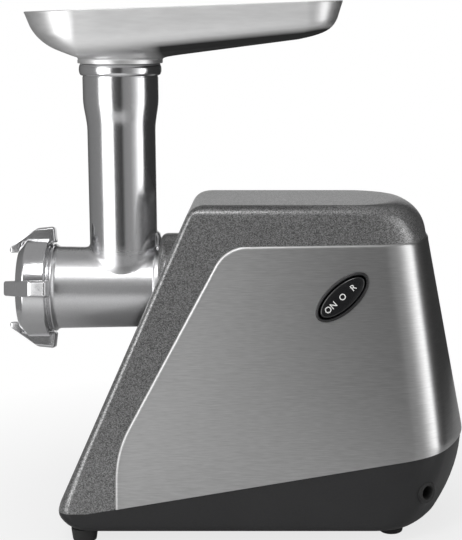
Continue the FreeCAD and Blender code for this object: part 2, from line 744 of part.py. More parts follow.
def lock_spring():
    y, z = lock_point(LOCK_BUTTON_REACH)
    start = LOCK_ARM_X + LOCK_ARM + FACE_GAP
    length = GEARBOX_FRONT - SOCKET_FLANGE - FACE_GAP - start
    return coil_spring(V(start, y, z), X_AXIS, length, LOCK_SPRING_RADIUS, LOCK_SPRING_WIRE / 2,
                       SPRING_TURNS)


def switch_bezel():
    rim = oval_prism(BEZEL_LENGTH, BEZEL_WIDTH, 0, BEZEL_PROUD)
    collar = oval_prism(COLLAR_LENGTH, COLLAR_WIDTH, -BEZEL_DEPTH, BEZEL_PROUD)
    window = oval_prism(WINDOW_LENGTH, WINDOW_WIDTH, -BEZEL_DEPTH - OVERSHOOT, BEZEL_PROUD + OVERSHOOT)
    pivot = Part.makeCylinder(ROCKER_PIN_RADIUS + RUNNING_FIT, BEZEL_WIDTH,
                              V(0, -BEZEL_WIDTH / 2, -ROCKER_PIVOT_DEPTH), Y_AXIS)
    return placed(rim.fuse(collar).cut(window).cut(pivot), switch_frame())


def switch_rocker():
    length = WINDOW_LENGTH - 2 * ROCKER_GAP
    width = WINDOW_WIDTH - 2 * ROCKER_GAP
    tail = -ROCKER_PIVOT_DEPTH - ROCKER_TAIL
    rocker = Part.makeLoft([
        oval(length - 2 * ROCKER_TAIL_INSET, width - ROCKER_TAIL_INSET, tail),
        oval(length, width, -ROCKER_PIVOT_DEPTH),
        oval(length - 2 * ROCKER_TAPER, width - ROCKER_TAPER, ROCKER_PROUD)], True, True)
    pin_length = WINDOW_WIDTH + BEZEL_COLLAR_WALL
    pin = Part.makeCylinder(ROCKER_PIN_RADIUS, pin_length,
                            V(0, -pin_length / 2, -ROCKER_PIVOT_DEPTH), Y_AXIS)
    return placed(rocker.fuse(pin), switch_frame())


def switch_body():
    case = block(-SWITCH_BODY_LENGTH / 2, SWITCH_BODY_LENGTH / 2, -SWITCH_BODY_WIDTH / 2,
                 SWITCH_BODY_WIDTH / 2, -BEZEL_DEPTH - SWITCH_BODY_DEPTH, -BEZEL_DEPTH)
    return placed(case, switch_frame())


def switch_terminals():
    low = -BEZEL_DEPTH - SWITCH_BODY_DEPTH
    pitch = SWITCH_BODY_LENGTH / TERMINAL_COUNT
    blades = []
    for index in range(TERMINAL_COUNT):
        x = (index + 0.5) * pitch - SWITCH_BODY_LENGTH / 2
        blade = block(x - TERMINAL_THICKNESS / 2, x + TERMINAL_THICKNESS / 2,
                      -TERMINAL_WIDTH / 2, TERMINAL_WIDTH / 2, low - TERMINAL_LENGTH, low)
        blades.append(placed(blade, switch_frame()))
    return blades


def barrel_outline():
    """Half section of the barrel with its thread, flange and spigot, as (x, radius) points."""
    flange = SOCKET_FRONT - FLANGE_THICKNESS
    root = THREAD_RADIUS - THREAD_DEPTH
    outline = [(BARREL_FRONT, 0), (BARREL_FRONT, root)]
    for index in range(int(THREAD_LENGTH / THREAD_PITCH)):
        x = BARREL_FRONT + index * THREAD_PITCH
        outline.append((x + THREAD_PITCH / 3, THREAD_RADIUS))
        outline.append((x + THREAD_PITCH * 2 / 3, THREAD_RADIUS))
        outline.append((x + THREAD_PITCH, root))
    return outline + [
        (BARREL_FRONT + THREAD_LENGTH, BARREL_FRONT_RADIUS), (flange, BARREL_REAR_RADIUS),
        (flange, FLANGE_RADIUS), (SOCKET_FRONT, FLANGE_RADIUS), (SOCKET_FRONT, SPIGOT_RADIUS),
        (SPIGOT_REAR, SPIGOT_RADIUS), (SPIGOT_REAR, 0)]


def feed_tube():
    """Solid tube from the drive axis up to its beaded mouth."""
    flare = AXIS_Z + FLARE_LOW
    bead = TUBE_TOP_Z - BEAD_HEIGHT
    quarter = BEAD_HEIGHT / 4
    outline = [(0, AXIS_Z), (TUBE_RADIUS, AXIS_Z), (TUBE_RADIUS, flare),
               (FLARE_RADIUS, flare + FLARE_LENGTH), (FLARE_RADIUS, bead),
               (BEAD_RADIUS, bead + quarter), (BEAD_RADIUS, TUBE_TOP_Z - quarter),
               (FLARE_RADIUS, TUBE_TOP_Z), (0, TUBE_TOP_Z)]
    points = [V(TUBE_X + radius, 0, z) for radius, z in outline]
    face = Part.Face(Part.makePolygon(points + points[:1]))
    return face.revolve(V(TUBE_X, 0, 0), Z_AXIS, 360)


def grinder_barrel():
    gusset = block(TUBE_X, SOCKET_FRONT, -GUSSET_WIDTH / 2, GUSSET_WIDTH / 2,
                   AXIS_Z, AXIS_Z + BARREL_REAR_RADIUS + GUSSET_RISE)
    barrel = turned(barrel_outline()).fuse(feed_tube()).fuse(gusset)
    barrel = barrel.cut(rod(BARREL_FRONT - OVERSHOOT, BORE_END, BORE_RADIUS, 0, AXIS_Z))
    barrel = barrel.cut(rod(BARREL_FRONT - OVERSHOOT, PLATE_REAR + SHOULDER_GAP,
                            PLATE_RADIUS + PLATE_FIT, 0, AXIS_Z))
    barrel = drilled(barrel, BORE_END, SPIGOT_REAR, AUGER_SHAFT_RADIUS + RUNNING_FIT, 0, AXIS_Z)
    mouth = TUBE_TOP_Z - TRAY_SPIGOT_LENGTH - OVERSHOOT
    barrel = barrel.cut(post(TUBE_X, 0, AXIS_Z, TUBE_TOP_Z + OVERSHOOT, TUBE_BORE))
    barrel = barrel.cut(post(TUBE_X, 0, mouth, TUBE_TOP_Z + OVERSHOOT, MOUTH_BORE))
    lock_hole = rod(SOCKET_FRONT - LOCK_ENGAGEMENT - OPENING_GAP, SOCKET_FRONT,
                    LOCK_PIN_RADIUS + LOCK_PIN_FIT, *lock_point(LOCK_PIN_REACH))
    return barrel.cut(plate_key()).cut(lock_hole)


def plate_key():
    start = PLATE_REAR + SHOULDER_GAP + OVERSHOOT - KEY_LENGTH
    return rod(start, start + KEY_LENGTH, KEY_RADIUS, 0, AXIS_Z - PLATE_RADIUS)


def cutting_plate():
    plate = rod(PLATE_FRONT, PLATE_REAR, PLATE_RADIUS, 0, AXIS_Z)
    plate = drilled(plate, PLATE_FRONT, PLATE_REAR, STUB_RADIUS + STUB_FIT, 0, AXIS_Z)
    plate = drilled(plate, PLATE_FRONT, PLATE_REAR, KEY_RADIUS + KEY_FIT, 0, AXIS_Z - PLATE_RADIUS)
    holes = []
    for count, reach in PLATE_RINGS:
        for index in range(count):
            angle = 360 * index / count
            holes.append(rod(PLATE_FRONT - OVERSHOOT, PLATE_REAR + OVERSHOOT, PLATE_HOLE_RADIUS,
                             reach * cos_deg(angle), AXIS_Z + reach * sin_deg(angle)))
    return plate.cut(Part.makeCompound(holes))


def cutting_blade():
    blade = rod(BLADE_FRONT, AUGER_FRONT, BLADE_HUB_RADIUS, 0, AXIS_Z)
    half = BLADE_ARM / 2
    for index in range(BLADE_ARMS):
        arm = block(BLADE_FRONT, AUGER_FRONT, 0, BLADE_RADIUS, AXIS_Z - half, AXIS_Z + half)
        blade = blade.fuse(about_drive(arm, index * 360 / BLADE_ARMS))
    blade = blade.common(rod(BLADE_FRONT, AUGER_FRONT, BLADE_RADIUS, 0, AXIS_Z))
    return blade.cut(square_bar(BLADE_FRONT - OVERSHOOT, AUGER_FRONT + OVERSHOOT,
                                SQUARE_DRIVE + 2 * SQUARE_FIT))


def square_bar(x0, x1, size):
    return block(x0, x1, -size / 2, size / 2, AXIS_Z - size / 2, AXIS_Z + size / 2)


def auger_flight(shoulder):
    """Screw blade wound on the auger core, from the blade seat to just before the shoulder."""
    half = AUGER_FLIGHT / 2
    start = AUGER_FRONT + half + FACE_GAP
    helix = Part.makeHelix(AUGER_PITCH, shoulder - AUGER_FLIGHT - start, AUGER_RADIUS)
    inner = AUGER_CORE_FRONT / 2
    section = Part.makePolygon([V(inner, 0, -half), V(AUGER_RADIUS, 0, -half), V(AUGER_RADIUS, 0, half),
                                V(inner, 0, half), V(inner, 0, -half)])
    flight = Part.Wire(helix).makePipeShell([section], True, True)
    return placed(flight, FreeCAD.Placement(V(start, 0, AXIS_Z), FreeCAD.Rotation(Z_AXIS, X_AXIS)))


def auger():
    shoulder = WASHER_X - FACE_GAP - AUGER_SHOULDER
    neck_end = SPIGOT_REAR + OPENING_GAP
    tenon_end = neck_end + TENON_LENGTH
    core = Part.makeCone(AUGER_CORE_FRONT, AUGER_CORE_REAR, shoulder - AUGER_FRONT,
                         V(AUGER_FRONT, 0, AXIS_Z), X_AXIS)
    screw_body = core.fuse(auger_flight(shoulder))
    tail = rod(shoulder, shoulder + AUGER_SHOULDER, AUGER_SHOULDER_RADIUS, 0, AXIS_Z)
    tail = tail.fuse(rod(shoulder, neck_end, AUGER_SHAFT_RADIUS, 0, AXIS_Z))
    tail = tail.fuse(square_bar(SPIGOT_REAR, tenon_end, SQUARE_DRIVE))
    tail = tail.cut(rod(tenon_end - SCREW_BITE, tenon_end + OVERSHOOT, SCREW_RADIUS + SCREW_FIT, 0, AXIS_Z))
    stub = square_bar(BLADE_FRONT + FACE_GAP, AUGER_FRONT, SQUARE_DRIVE)
    stub = stub.fuse(rod(PLATE_FRONT + OVERSHOOT, AUGER_FRONT, STUB_RADIUS, 0, AXIS_Z))
    return screw_body.fuse(tail).fuse(stub)


def auger_washer():
    return sleeve(WASHER_X, BORE_END, AUGER_SHOULDER_RADIUS, AUGER_SHAFT_RADIUS + HEAD_FIT, 0, AXIS_Z)


def hexagon_bar(x0, x1, flats):
    corner = flats / 2 / cos_deg(30)
    angles = range(0, 361, 60)
    points = [V(x0, corner * cos_deg(angle), AXIS_Z + corner * sin_deg(angle)) for angle in angles]
    return Part.Face(Part.makePolygon(points)).extrude(V(x1 - x0, 0, 0))


COUPLING_X = SPIGOT_REAR + OPENING_GAP
COUPLING_REAR = COUPLING_X + COUPLING_LENGTH


def auger_coupling():
    coupling = hexagon_bar(COUPLING_X, COUPLING_REAR, COUPLING_FLATS)
    coupling = coupling.cut(square_bar(COUPLING_X - OVERSHOOT, COUPLING_X + TENON_LENGTH,
                                       SQUARE_DRIVE + 2 * SQUARE_FIT))
    coupling = drilled(coupling, COUPLING_X, COUPLING_REAR, SCREW_RADIUS + SCREW_FIT, 0, AXIS_Z)
    return coupling.cut(rod(COUPLING_REAR - SCREW_HEAD, COUPLING_REAR + OVERSHOOT,
                            SCREW_HEAD_RADIUS + HEAD_FIT, 0, AXIS_Z))


def coupling_screw():
    head = rod(COUPLING_REAR - SCREW_HEAD, COUPLING_REAR, SCREW_HEAD_RADIUS, 0, AXIS_Z)
    tip = COUPLING_X + TENON_LENGTH - SCREW_BITE + OVERSHOOT
    return head.fuse(rod(tip, COUPLING_REAR - SCREW_HEAD / 2, SCREW_RADIUS, 0, AXIS_Z))


def ring_nut():
    bore = THREAD_RADIUS + THREAD_FIT
    nut = turned([(NUT_FRONT, NUT_LIP_BORE), (NUT_FRONT, NUT_RADIUS - NUT_LIP),
                  (NUT_FRONT + NUT_LIP, NUT_RADIUS), (NUT_REAR, NUT_RADIUS), (NUT_REAR, bore),
                  (PLATE_FRONT, bore), (PLATE_FRONT, NUT_LIP_BORE)])
    tip = NUT_FRONT - LUG_REACH
    rear = NUT_REAR + LUG_OVERHANG
    inside = (bore + NUT_RADIUS) / 2
    outline = [(rear, inside), (rear - THREAD_DEPTH, LUG_RADIUS), (NUT_REAR - LUG_CREST, LUG_RADIUS),
               (tip, LUG_TIP_RADIUS), (tip, LUG_TIP_RADIUS - LUG_TIP_DEPTH),
               (NUT_FRONT + NUT_LIP / 3, LUG_TIP_RADIUS - LUG_TIP_DEPTH), (NUT_FRONT + NUT_LIP / 3, inside)]
    points = [V(x, -LUG_WIDTH / 2, AXIS_Z + radius) for x, radius in outline]
    lug = Part.Face(Part.makePolygon(points + points[:1])).extrude(V(0, LUG_WIDTH, 0))
    lug = lug.cut(rod(NUT_REAR - NUT_LENGTH / 2, rear + OVERSHOOT, bore + THREAD_FIT, 0, AXIS_Z))
    for index in range(LUG_COUNT):
        nut = nut.fuse(about_drive(lug, LUG_TURN + 360 * index / LUG_COUNT))
    return nut


def tray_outline(inset, rise, slope, nose=0):
    """Rounded outline of the tray at a height over the tube, sloping to the rear and up to the nose."""
    x0 = TUBE_X - TRAY_FRONT + inset
    x1 = TUBE_X + TRAY_REAR - inset
    half = TRAY_HALF_WIDTH - inset
    front = TRAY_FRONT_ROUND - inset
    rear = TRAY_REAR_ROUND - inset

    def at(x, y):
        climb = (x - TUBE_X) * tan_deg(slope) + max(0, x0 + front - x) * tan_deg(nose)
        return V(x, y, TUBE_TOP_Z + rise + climb)

    def corner(x, y, radius, start, end):
        angles = (start, (start + end) / 2, end)
        return Part.Arc(*[at(x + radius * cos_deg(a), y + radius * sin_deg(a)) for a in angles]).toShape()

    def straight(start, end):
        return Part.LineSegment(at(*start), at(*end)).toShape()

    return Part.Wire([
        straight((x0 + front, -half), (x1 - rear, -half)),
        corner(x1 - rear, rear - half, rear, -90, 0),
        straight((x1, rear - half), (x1, half - rear)),
        corner(x1 - rear, half - rear, rear, 0, 90),
        straight((x1 - rear, half), (x0 + front, half)),
        corner(x0 + front, half - front, front, 90, 180),
        straight((x0, half - front), (x0, front - half)),
        corner(x0 + front, front - half, front, 180, 270)])


def neck_ring(radius, rise):
    """Circle of the tray neck, in eight arcs that answer the eight runs of the outline."""
    stops = (-115, -65, -25, 25, 65, 115, 155, 205, 245)
    return Part.Wire([arc((TUBE_X, 0), radius, start, end, TUBE_TOP_Z + rise)
                      for start, end in zip(stops, stops[1:])])


def tray_form(inset, lift):
    """Tray filled to its rim: neck ring, floor edge, foot of the wall and rim."""
    return Part.makeLoft([
        neck_ring(TRAY_NECK_RADIUS - inset, TRAY_NECK_HEIGHT + lift),
        tray_outline(TRAY_FLOOR_INSET + inset, TRAY_FLOOR_RISE + lift, TRAY_FLOOR_SLOPE, TRAY_NOSE_SLOPE),
        tray_outline(TRAY_WALL_INSET + inset, TRAY_WALL_RISE + lift, TRAY_FLOOR_SLOPE, TRAY_NOSE_SLOPE),
        tray_outline(inset, TRAY_RIM_RISE, TRAY_RIM_SLOPE)], True, True)


def hopper_tray():
    pan = tray_form(0, 0).cut(tray_form(TRAY_SHEET, TRAY_SHEET))
    neck = post(TUBE_X, 0, TUBE_TOP_Z, TUBE_TOP_Z + TRAY_NECK_HEIGHT, TRAY_NECK_RADIUS)
    spigot = post(TUBE_X, 0, TUBE_TOP_Z - TRAY_SPIGOT_LENGTH, TUBE_TOP_Z + OVERSHOOT,
                  MOUTH_BORE - TRAY_SPIGOT_FIT)
    throat = post(TUBE_X, 0, TUBE_TOP_Z - TRAY_SPIGOT_LENGTH - OVERSHOOT,
                  TUBE_TOP_Z + TRAY_RIM_RISE, TRAY_THROAT)
    return pan.fuse(neck).fuse(spigot).cut(throat)


def involute(base, radius):
    """Polar angle of an involute of the base circle where it reaches a radius."""
    ratio = math.sqrt((radius / base) ** 2 - 1)
    return ratio - math.atan(ratio)


def spur_gear(teeth, module, x0, width, shaft, phase, bore):
    """Involute gear about X with a tooth centred at the phase angle, in radians."""
    pitch = module * teeth / 2
    base = pitch * cos_deg(PRESSURE_ANGLE)
    tip = pitch + module
    root = pitch - ROOT_DEPTH * module
    foot = max(base, root)
    half = math.pi / (2 * teeth) - BACKLASH / (4 * pitch) + involute(base, pitch)

    def at(radius, angle):
        return V(x0, shaft[0] + radius * math.cos(angle), shaft[1] + radius * math.sin(angle))

    radii = [foot + (tip - foot) * index / (FLANK_POINTS - 1) for index in range(FLANK_POINTS)]
    edges = []
    for index in range(teeth):
        middle = phase + 2 * math.pi * index / teeth
        rising = [at(radius, middle - half + involute(base, radius)) for radius in radii]
        falling = [at(radius, middle + half - involute(base, radius)) for radius in reversed(radii)]
        next_middle = middle + 2 * math.pi / teeth
        gap_middle = middle + math.pi / teeth
        if foot > root:
            edges.append(Part.LineSegment(at(root, middle - half), rising[0]).toShape())
        for flank in (rising, falling):
            curve = Part.BSplineCurve()
            curve.interpolate(flank)
            if flank is falling:
                edges.append(Part.Arc(rising[-1], at(tip, middle), falling[0]).toShape())
            edges.append(curve.toShape())
        if foot > root:
            end = at(root, middle + half)
            edges.append(Part.LineSegment(falling[-1], end).toShape())
            edges.append(Part.Arc(end, at(root, gap_middle), at(root, next_middle - half)).toShape())
        else:
            following = at(foot, next_middle - half + involute(base, foot))
            edges.append(Part.Arc(falling[-1], at(foot, gap_middle), following).toShape())
    gear = Part.Face(Part.Wire(edges)).extrude(V(width, 0, 0))
    if bore:
        gear = gear.cut(rod(x0 - OVERSHOOT, x0 + width + OVERSHOOT, bore, *shaft))
    return gear


def mesh_phase(phase, teeth, shaft, next_teeth, next_at):
    """Phase that puts the next gear in mesh with a gear of a known phase."""
    towards = math.atan2(next_at[1] - shaft[1], next_at[0] - shaft[0])
    share = ((towards - phase) * teeth / (2 * math.pi)) % 1
    return towards + math.pi - (0.5 - share) * 2 * math.pi / next_teeth


FIRST_PHASE = mesh_phase(0, PINION_TEETH, MOTOR_SHAFT, FIRST_TEETH, FIRST_SHAFT)
SECOND_PHASE = mesh_phase(0, PINION_TEETH, FIRST_SHAFT, SECOND_TEETH, SECOND_SHAFT)
OUTPUT_PHASE = mesh_phase(0, PINION_TEETH, SECOND_SHAFT, OUTPUT_TEETH, OUTPUT_SHAFT)


def output_shaft():
    start = SPIGOT_REAR + 2 * OPENING_GAP
    shaft = rod(start, OUTPUT_X + OUTPUT_WIDTH, OUTPUT_SHAFT_RADIUS, 0, AXIS_Z)
    shaft = shaft.fuse(rod(OUTPUT_X, COVER_REAR - FACE_GAP, OUTPUT_TAIL_RADIUS, 0, AXIS_Z))
    return shaft.cut(hexagon_bar(start - OVERSHOOT, COUPLING_REAR + OVERSHOOT,
                                 COUPLING_FLATS + 2 * COUPLING_FIT))


def stage_shaft(shaft, radius, gear_x, gear_width, pinion_x, pinion_width, module):
    """A shaft with its pinion cut on it and spacers that keep both gears in their planes."""
    end = COVER_X - BUSH_WALL / 2
    start = GEARBOX_FRONT + GEARBOX_WALL + BUSH_WALL / 2
    spindle = rod(GEARBOX_FRONT + FACE_GAP, COVER_REAR - FACE_GAP, radius, *shaft)
    spindle = spindle.fuse(spur_gear(PINION_TEETH, module, pinion_x, pinion_width, shaft, 0, 0))
    stops = [(start + FACE_GAP, pinion_x), (pinion_x + pinion_width, gear_x),
             (gear_x + gear_width, end - FACE_GAP)]
    for low, high in stops:
        if high > low:
            spindle = spindle.fuse(rod(low, high, radius + SPACER_WALL, *shaft))
    return spindle


def bush(x0, x1, radius, shaft):
    return sleeve(x0, x1, radius + RUNNING_FIT + BUSH_WALL, radius + RUNNING_FIT, *shaft)


def shaft_bushes(shaft, radius):
    front = bush(GEARBOX_FRONT, GEARBOX_FRONT + GEARBOX_WALL + BUSH_WALL / 2, radius, shaft)
    rear = bush(COVER_X - BUSH_WALL / 2, COVER_REAR, radius, shaft)
    return [front, rear]


def output_bearing_front():
    return bush(GEARBOX_FRONT - GEARBOX_BOSS_HEIGHT, OUTPUT_X - GEAR_GAP / 3,
                OUTPUT_SHAFT_RADIUS, OUTPUT_SHAFT)


def output_bearing_rear():
    return bush(COVER_X - BUSH_WALL / 2, COVER_REAR, OUTPUT_TAIL_RADIUS, OUTPUT_SHAFT)


def tip_radius(module, teeth):
    return module * (teeth / 2 + 1)


def gearbox_discs():
    """Inner wall of the gearbox as discs round each shaft: (shaft, radius)."""
    return ((OUTPUT_SHAFT, tip_radius(SECOND_MODULE, OUTPUT_TEETH) + GEARBOX_TIP_ROOM),
            (SECOND_SHAFT, tip_radius(FIRST_MODULE, SECOND_TEETH) + GEARBOX_TIP_ROOM),
            (FIRST_SHAFT, tip_radius(MOTOR_MODULE, FIRST_TEETH) + GEARBOX_TIP_ROOM),
            (MOTOR_SHAFT, MOTOR_BEARING_RADIUS + 2 * GEARBOX_WALL))


def gearbox_form(x0, x1, grow):
    discs = [rod(x0, x1, radius + grow, *shaft) for shaft, radius in gearbox_discs()]
    return discs[0].multiFuse(discs[1:]).removeSplitter()


def gearbox_ears():
    """Where the gearbox halves are screwed together: points on the rim of the discs."""
    ears = socket_ears()
    for index, angle in GEARBOX_EAR_PLACES:
        shaft, radius = gearbox_discs()[index]
        reach = radius + GEARBOX_WALL
        ears.append((shaft[0] + reach * cos_deg(angle), shaft[1] + reach * sin_deg(angle)))
    return ears


def with_ears(shape, x0, x1):
    """The shape with its screw ears, those of the socket carried on webs from the output shaft."""
    half = GEARBOX_EAR_RADIUS
    for y, z in gearbox_ears():
        shape = shape.fuse(rod(x0, x1, half, y, z))
    for angle in SOCKET_EAR_ANGLES:
        web = block(x0, x1, 0, SOCKET_EAR_REACH, AXIS_Z - half, AXIS_Z + half)
        shape = shape.fuse(about_drive(web, angle))
    return shape


def gearbox_bores(shape):
    """Seats of the bushes and bearings, shared by the case and the cover."""
    for shaft, radius in ((SECOND_SHAFT, SECOND_SHAFT_RADIUS), (FIRST_SHAFT, FIRST_SHAFT_RADIUS)):
        shape = drilled(shape, GEARBOX_FRONT, COVER_REAR, radius + RUNNING_FIT + BUSH_WALL, *shaft)
    for y, z in gearbox_ears():
        shape = drilled(shape, GEARBOX_FRONT, COVER_REAR, SCREW_RADIUS + SCREW_FIT, y, z)
    return shape


def gearbox_case():
    case = with_ears(gearbox_form(GEARBOX_FRONT, COVER_X, GEARBOX_WALL), GEARBOX_FRONT, COVER_X)
    case = case.cut(gearbox_form(GEARBOX_FRONT + GEARBOX_WALL, COVER_X + OVERSHOOT, 0))
    seat = OUTPUT_SHAFT_RADIUS + RUNNING_FIT + BUSH_WALL
    boss = GEARBOX_FRONT - GEARBOX_BOSS_HEIGHT
    case = case.fuse(rod(boss, GEARBOX_FRONT, seat + GEARBOX_WALL, 0, AXIS_Z))
    case = drilled(case, boss, GEARBOX_FRONT + GEARBOX_WALL, seat, 0, AXIS_Z)
    return gearbox_bores(case)


def motor_bolt_places():
    reach = STATOR_RADIUS - 2 * MOTOR_BOLT_RADIUS
    return [(side * reach, MOTOR_Z) for side in SIDES]


def gearbox_cover():
    cover = with_ears(gearbox_form(COVER_X, COVER_REAR, GEARBOX_WALL), COVER_X, COVER_REAR)
    half = GEARBOX_EAR_RADIUS
    for y, z in motor_bolt_places():
        arm = block(COVER_X, COVER_REAR, min(0, y), max(0, y), z - half, z + half)
        cover = cover.fuse(arm).fuse(rod(COVER_X, STATOR_X, 2 * MOTOR_BOLT_RADIUS, y, z))
    seat = OUTPUT_TAIL_RADIUS + RUNNING_FIT + BUSH_WALL
    cover = drilled(cover, COVER_X, COVER_REAR, seat, *OUTPUT_SHAFT)
    cover = drilled(cover, COVER_X, COVER_REAR, MOTOR_BEARING_RADIUS, *MOTOR_SHAFT)
    for y, z in motor_bolt_places():
        cover = drilled(cover, COVER_X, STATOR_X, MOTOR_BOLT_RADIUS + SCREW_FIT, y, z)
    return gearbox_bores(cover)


def gearbox_screws():
    screws = []
    for y, z in gearbox_ears():
        head = rod(COVER_REAR, COVER_REAR + SCREW_HEAD, SCREW_HEAD_RADIUS, y, z)
        screws.append(head.fuse(rod(COVER_REAR - SCREW_BITE, COVER_REAR + SCREW_HEAD / 2,
                                    SCREW_RADIUS, y, z)))
    return screws


def ring_sector(x0, x1, inner, outer, middle, spread):
    """Part of a ring about the motor shaft, spread to both sides of a middle angle."""
    ring = sleeve(x0, x1, outer, inner, *MOTOR_SHAFT)
    reach = 2 * outer
    y, z = MOTOR_SHAFT
    points = [V(x0, y, z)]
    for angle in (middle - spread, middle, middle + spread):
        points.append(V(x0, y + reach * cos_deg(angle), z + reach * sin_deg(angle)))
    wedge = Part.Face(Part.makePolygon(points + points[:1])).extrude(V(x1 - x0, 0, 0))
    return ring.common(wedge)


POLE_ANGLES = (90, 270)
COIL_OUTER = STATOR_RADIUS - BRACKET_WALL - COIL_CLEARANCE
COIL_INNER = COIL_OUTER - COIL_THICKNESS
POLE_RADIUS = COIL_INNER - 2 * AIR_GAP
ARMATURE_RADIUS = POLE_RADIUS - AIR_GAP
WINDING_RADIUS = ARMATURE_RADIUS - WINDING_INSET


def field_coil(middle, room):
    """Winding looped round one pole, with its end turns standing out of the stack."""
    slack = math.degrees(room / COIL_INNER)
    loop = ring_sector(STATOR_X - COIL_OVERHANG, STATOR_REAR + COIL_OVERHANG,
                       COIL_INNER - room, COIL_OUTER + room, middle, COIL_SPREAD + slack)
    pole = ring_sector(STATOR_X - COIL_ROOM, STATOR_REAR + COIL_ROOM, COIL_INNER - COIL_THICKNESS,
                       COIL_OUTER + COIL_THICKNESS, middle, POLE_SPREAD - slack)
    return loop.cut(pole)


def stator_core():
    core = sleeve(STATOR_X, STATOR_REAR, STATOR_RADIUS, POLE_RADIUS, *MOTOR_SHAFT)
    for middle in POLE_ANGLES:
        core = core.cut(field_coil(middle, COIL_ROOM))
    for y, z in motor_bolt_places():
        core = drilled(core, STATOR_X, STATOR_REAR, MOTOR_BOLT_RADIUS + SCREW_FIT, y, z)
    return core


def motor_shaft():
    end = BRACKET_REAR_X + MOTOR_BEARING_LENGTH
    return rod(FIRST_X - GEAR_GAP / 2, end, MOTOR_SHAFT_RADIUS, *MOTOR_SHAFT)


def motor_pinion():
    return spur_gear(PINION_TEETH, MOTOR_MODULE, FIRST_X, FIRST_WIDTH, MOTOR_SHAFT, 0, MOTOR_SHAFT_RADIUS)


def armature_core():
    return sleeve(STATOR_X, STATOR_REAR, ARMATURE_RADIUS, MOTOR_SHAFT_RADIUS, *MOTOR_SHAFT)


def armature_winding():
    ends = []
    for start, end in ((STATOR_X - WINDING_LENGTH, STATOR_X), (STATOR_REAR, STATOR_REAR + WINDING_LENGTH)):
        ends.append(sleeve(start, end, WINDING_RADIUS, MOTOR_SHAFT_RADIUS, *MOTOR_SHAFT))
    return ends


def about_motor(shape, angle):
    turn = shape.copy()
    turn.rotate(V(0, *MOTOR_SHAFT), X_AXIS, angle)
    return turn


def commutator():
    end = COMMUTATOR_X + COMMUTATOR_LENGTH
    drum = sleeve(COMMUTATOR_X - FAN_GAP, end, COMMUTATOR_RADIUS, MOTOR_SHAFT_RADIUS, *MOTOR_SHAFT)
    half = AIR_GAP / 4
    slot = block(COMMUTATOR_X, end + OVERSHOOT, COMMUTATOR_RADIUS - AIR_GAP,
                 COMMUTATOR_RADIUS + OVERSHOOT, MOTOR_Z - half, MOTOR_Z + half)
    slots = [about_motor(slot, 360 * index / COMMUTATOR_BARS) for index in range(COMMUTATOR_BARS)]
    return drum.cut(Part.makeCompound(slots))


def motor_fan():
    hub = MOTOR_SHAFT_RADIUS + BUSH_WALL
    end = FAN_X + FAN_LENGTH
    half = FAN_BLADE / 2
    fan = rod(FAN_X, end, hub, *MOTOR_SHAFT).fuse(rod(end - FAN_BLADE, end, FAN_RADIUS, *MOTOR_SHAFT))
    blade = block(FAN_X, end, hub - OVERSHOOT, FAN_RADIUS, MOTOR_Z - half, MOTOR_Z + half)
    for index in range(FAN_BLADES):
        fan = fan.fuse(about_motor(blade, 360 * index / FAN_BLADES))
    return drilled(fan, FAN_X, end, MOTOR_SHAFT_RADIUS, *MOTOR_SHAFT)


def motor_bearings():
    bore = MOTOR_SHAFT_RADIUS + RUNNING_FIT
    spans = ((COVER_X, COVER_REAR), (BRACKET_REAR_X, BRACKET_REAR_X + MOTOR_BEARING_LENGTH))
    return [sleeve(start, end, MOTOR_BEARING_RADIUS, bore, *MOTOR_SHAFT) for start, end in spans]


def motor_bracket():
    hub_end = BRACKET_REAR_X + MOTOR_BEARING_LENGTH
    plate_end = BRACKET_REAR_X + BRACKET_WALL
    inner = STATOR_RADIUS - BRACKET_WALL
    half = BRACKET_ARM / 2
    cross = block(STATOR_REAR, FAR, -FAR, FAR, MOTOR_Z - half, MOTOR_Z + half).fuse(
        block(STATOR_REAR, FAR, -half, half, MOTOR_Z - FAR, MOTOR_Z + FAR))
    ring = sleeve(STATOR_REAR, plate_end, STATOR_RADIUS, inner, *MOTOR_SHAFT)
    plate = rod(BRACKET_REAR_X, plate_end, inner + OVERSHOOT, *MOTOR_SHAFT)
    hub = rod(BRACKET_REAR_X, hub_end, MOTOR_BEARING_RADIUS + GEARBOX_WALL, *MOTOR_SHAFT)
    bracket = hub.fuse(ring.common(cross)).fuse(plate.common(cross))
    bracket = drilled(bracket, BRACKET_REAR_X, hub_end, MOTOR_BEARING_RADIUS, *MOTOR_SHAFT)
    for y, z in motor_bolt_places():
        bracket = drilled(bracket, STATOR_REAR, plate_end, MOTOR_BOLT_RADIUS + SCREW_FIT, y, z)
    for side in SIDES:
        bracket = bracket.cut(holder_block(side, holder_half(), 0, FAR))
    return bracket


def holder_half():
    return BRUSH_WIDTH / 2 + BRUSH_HOLDER_WALL


def holder_block(side, half, inner, outer):
    """Square bar over or under the commutator, from one radius to another."""
    low, high = sorted((MOTOR_Z + side * inner, MOTOR_Z + side * outer))
    return block(BRUSH_X - half, BRUSH_X + half, -half, half, low, high)


BRUSH_INNER = COMMUTATOR_RADIUS + RUNNING_FIT
BRUSH_OUTER = BRUSH_INNER + BRUSH_LENGTH
HOLDER_INNER = COMMUTATOR_RADIUS + AIR_GAP


def brush_holders():
    holders = []
    for side in SIDES:
        shell = holder_block(side, holder_half(), HOLDER_INNER, STATOR_RADIUS)
        pocket = holder_block(side, BRUSH_WIDTH / 2, 0, STATOR_RADIUS - BRUSH_HOLDER_WALL)
        holders.append(shell.cut(pocket))
    return holders


def carbon_brushes():
    return [holder_block(side, BRUSH_WIDTH / 2 - RUNNING_FIT, BRUSH_INNER, BRUSH_OUTER) for side in SIDES]


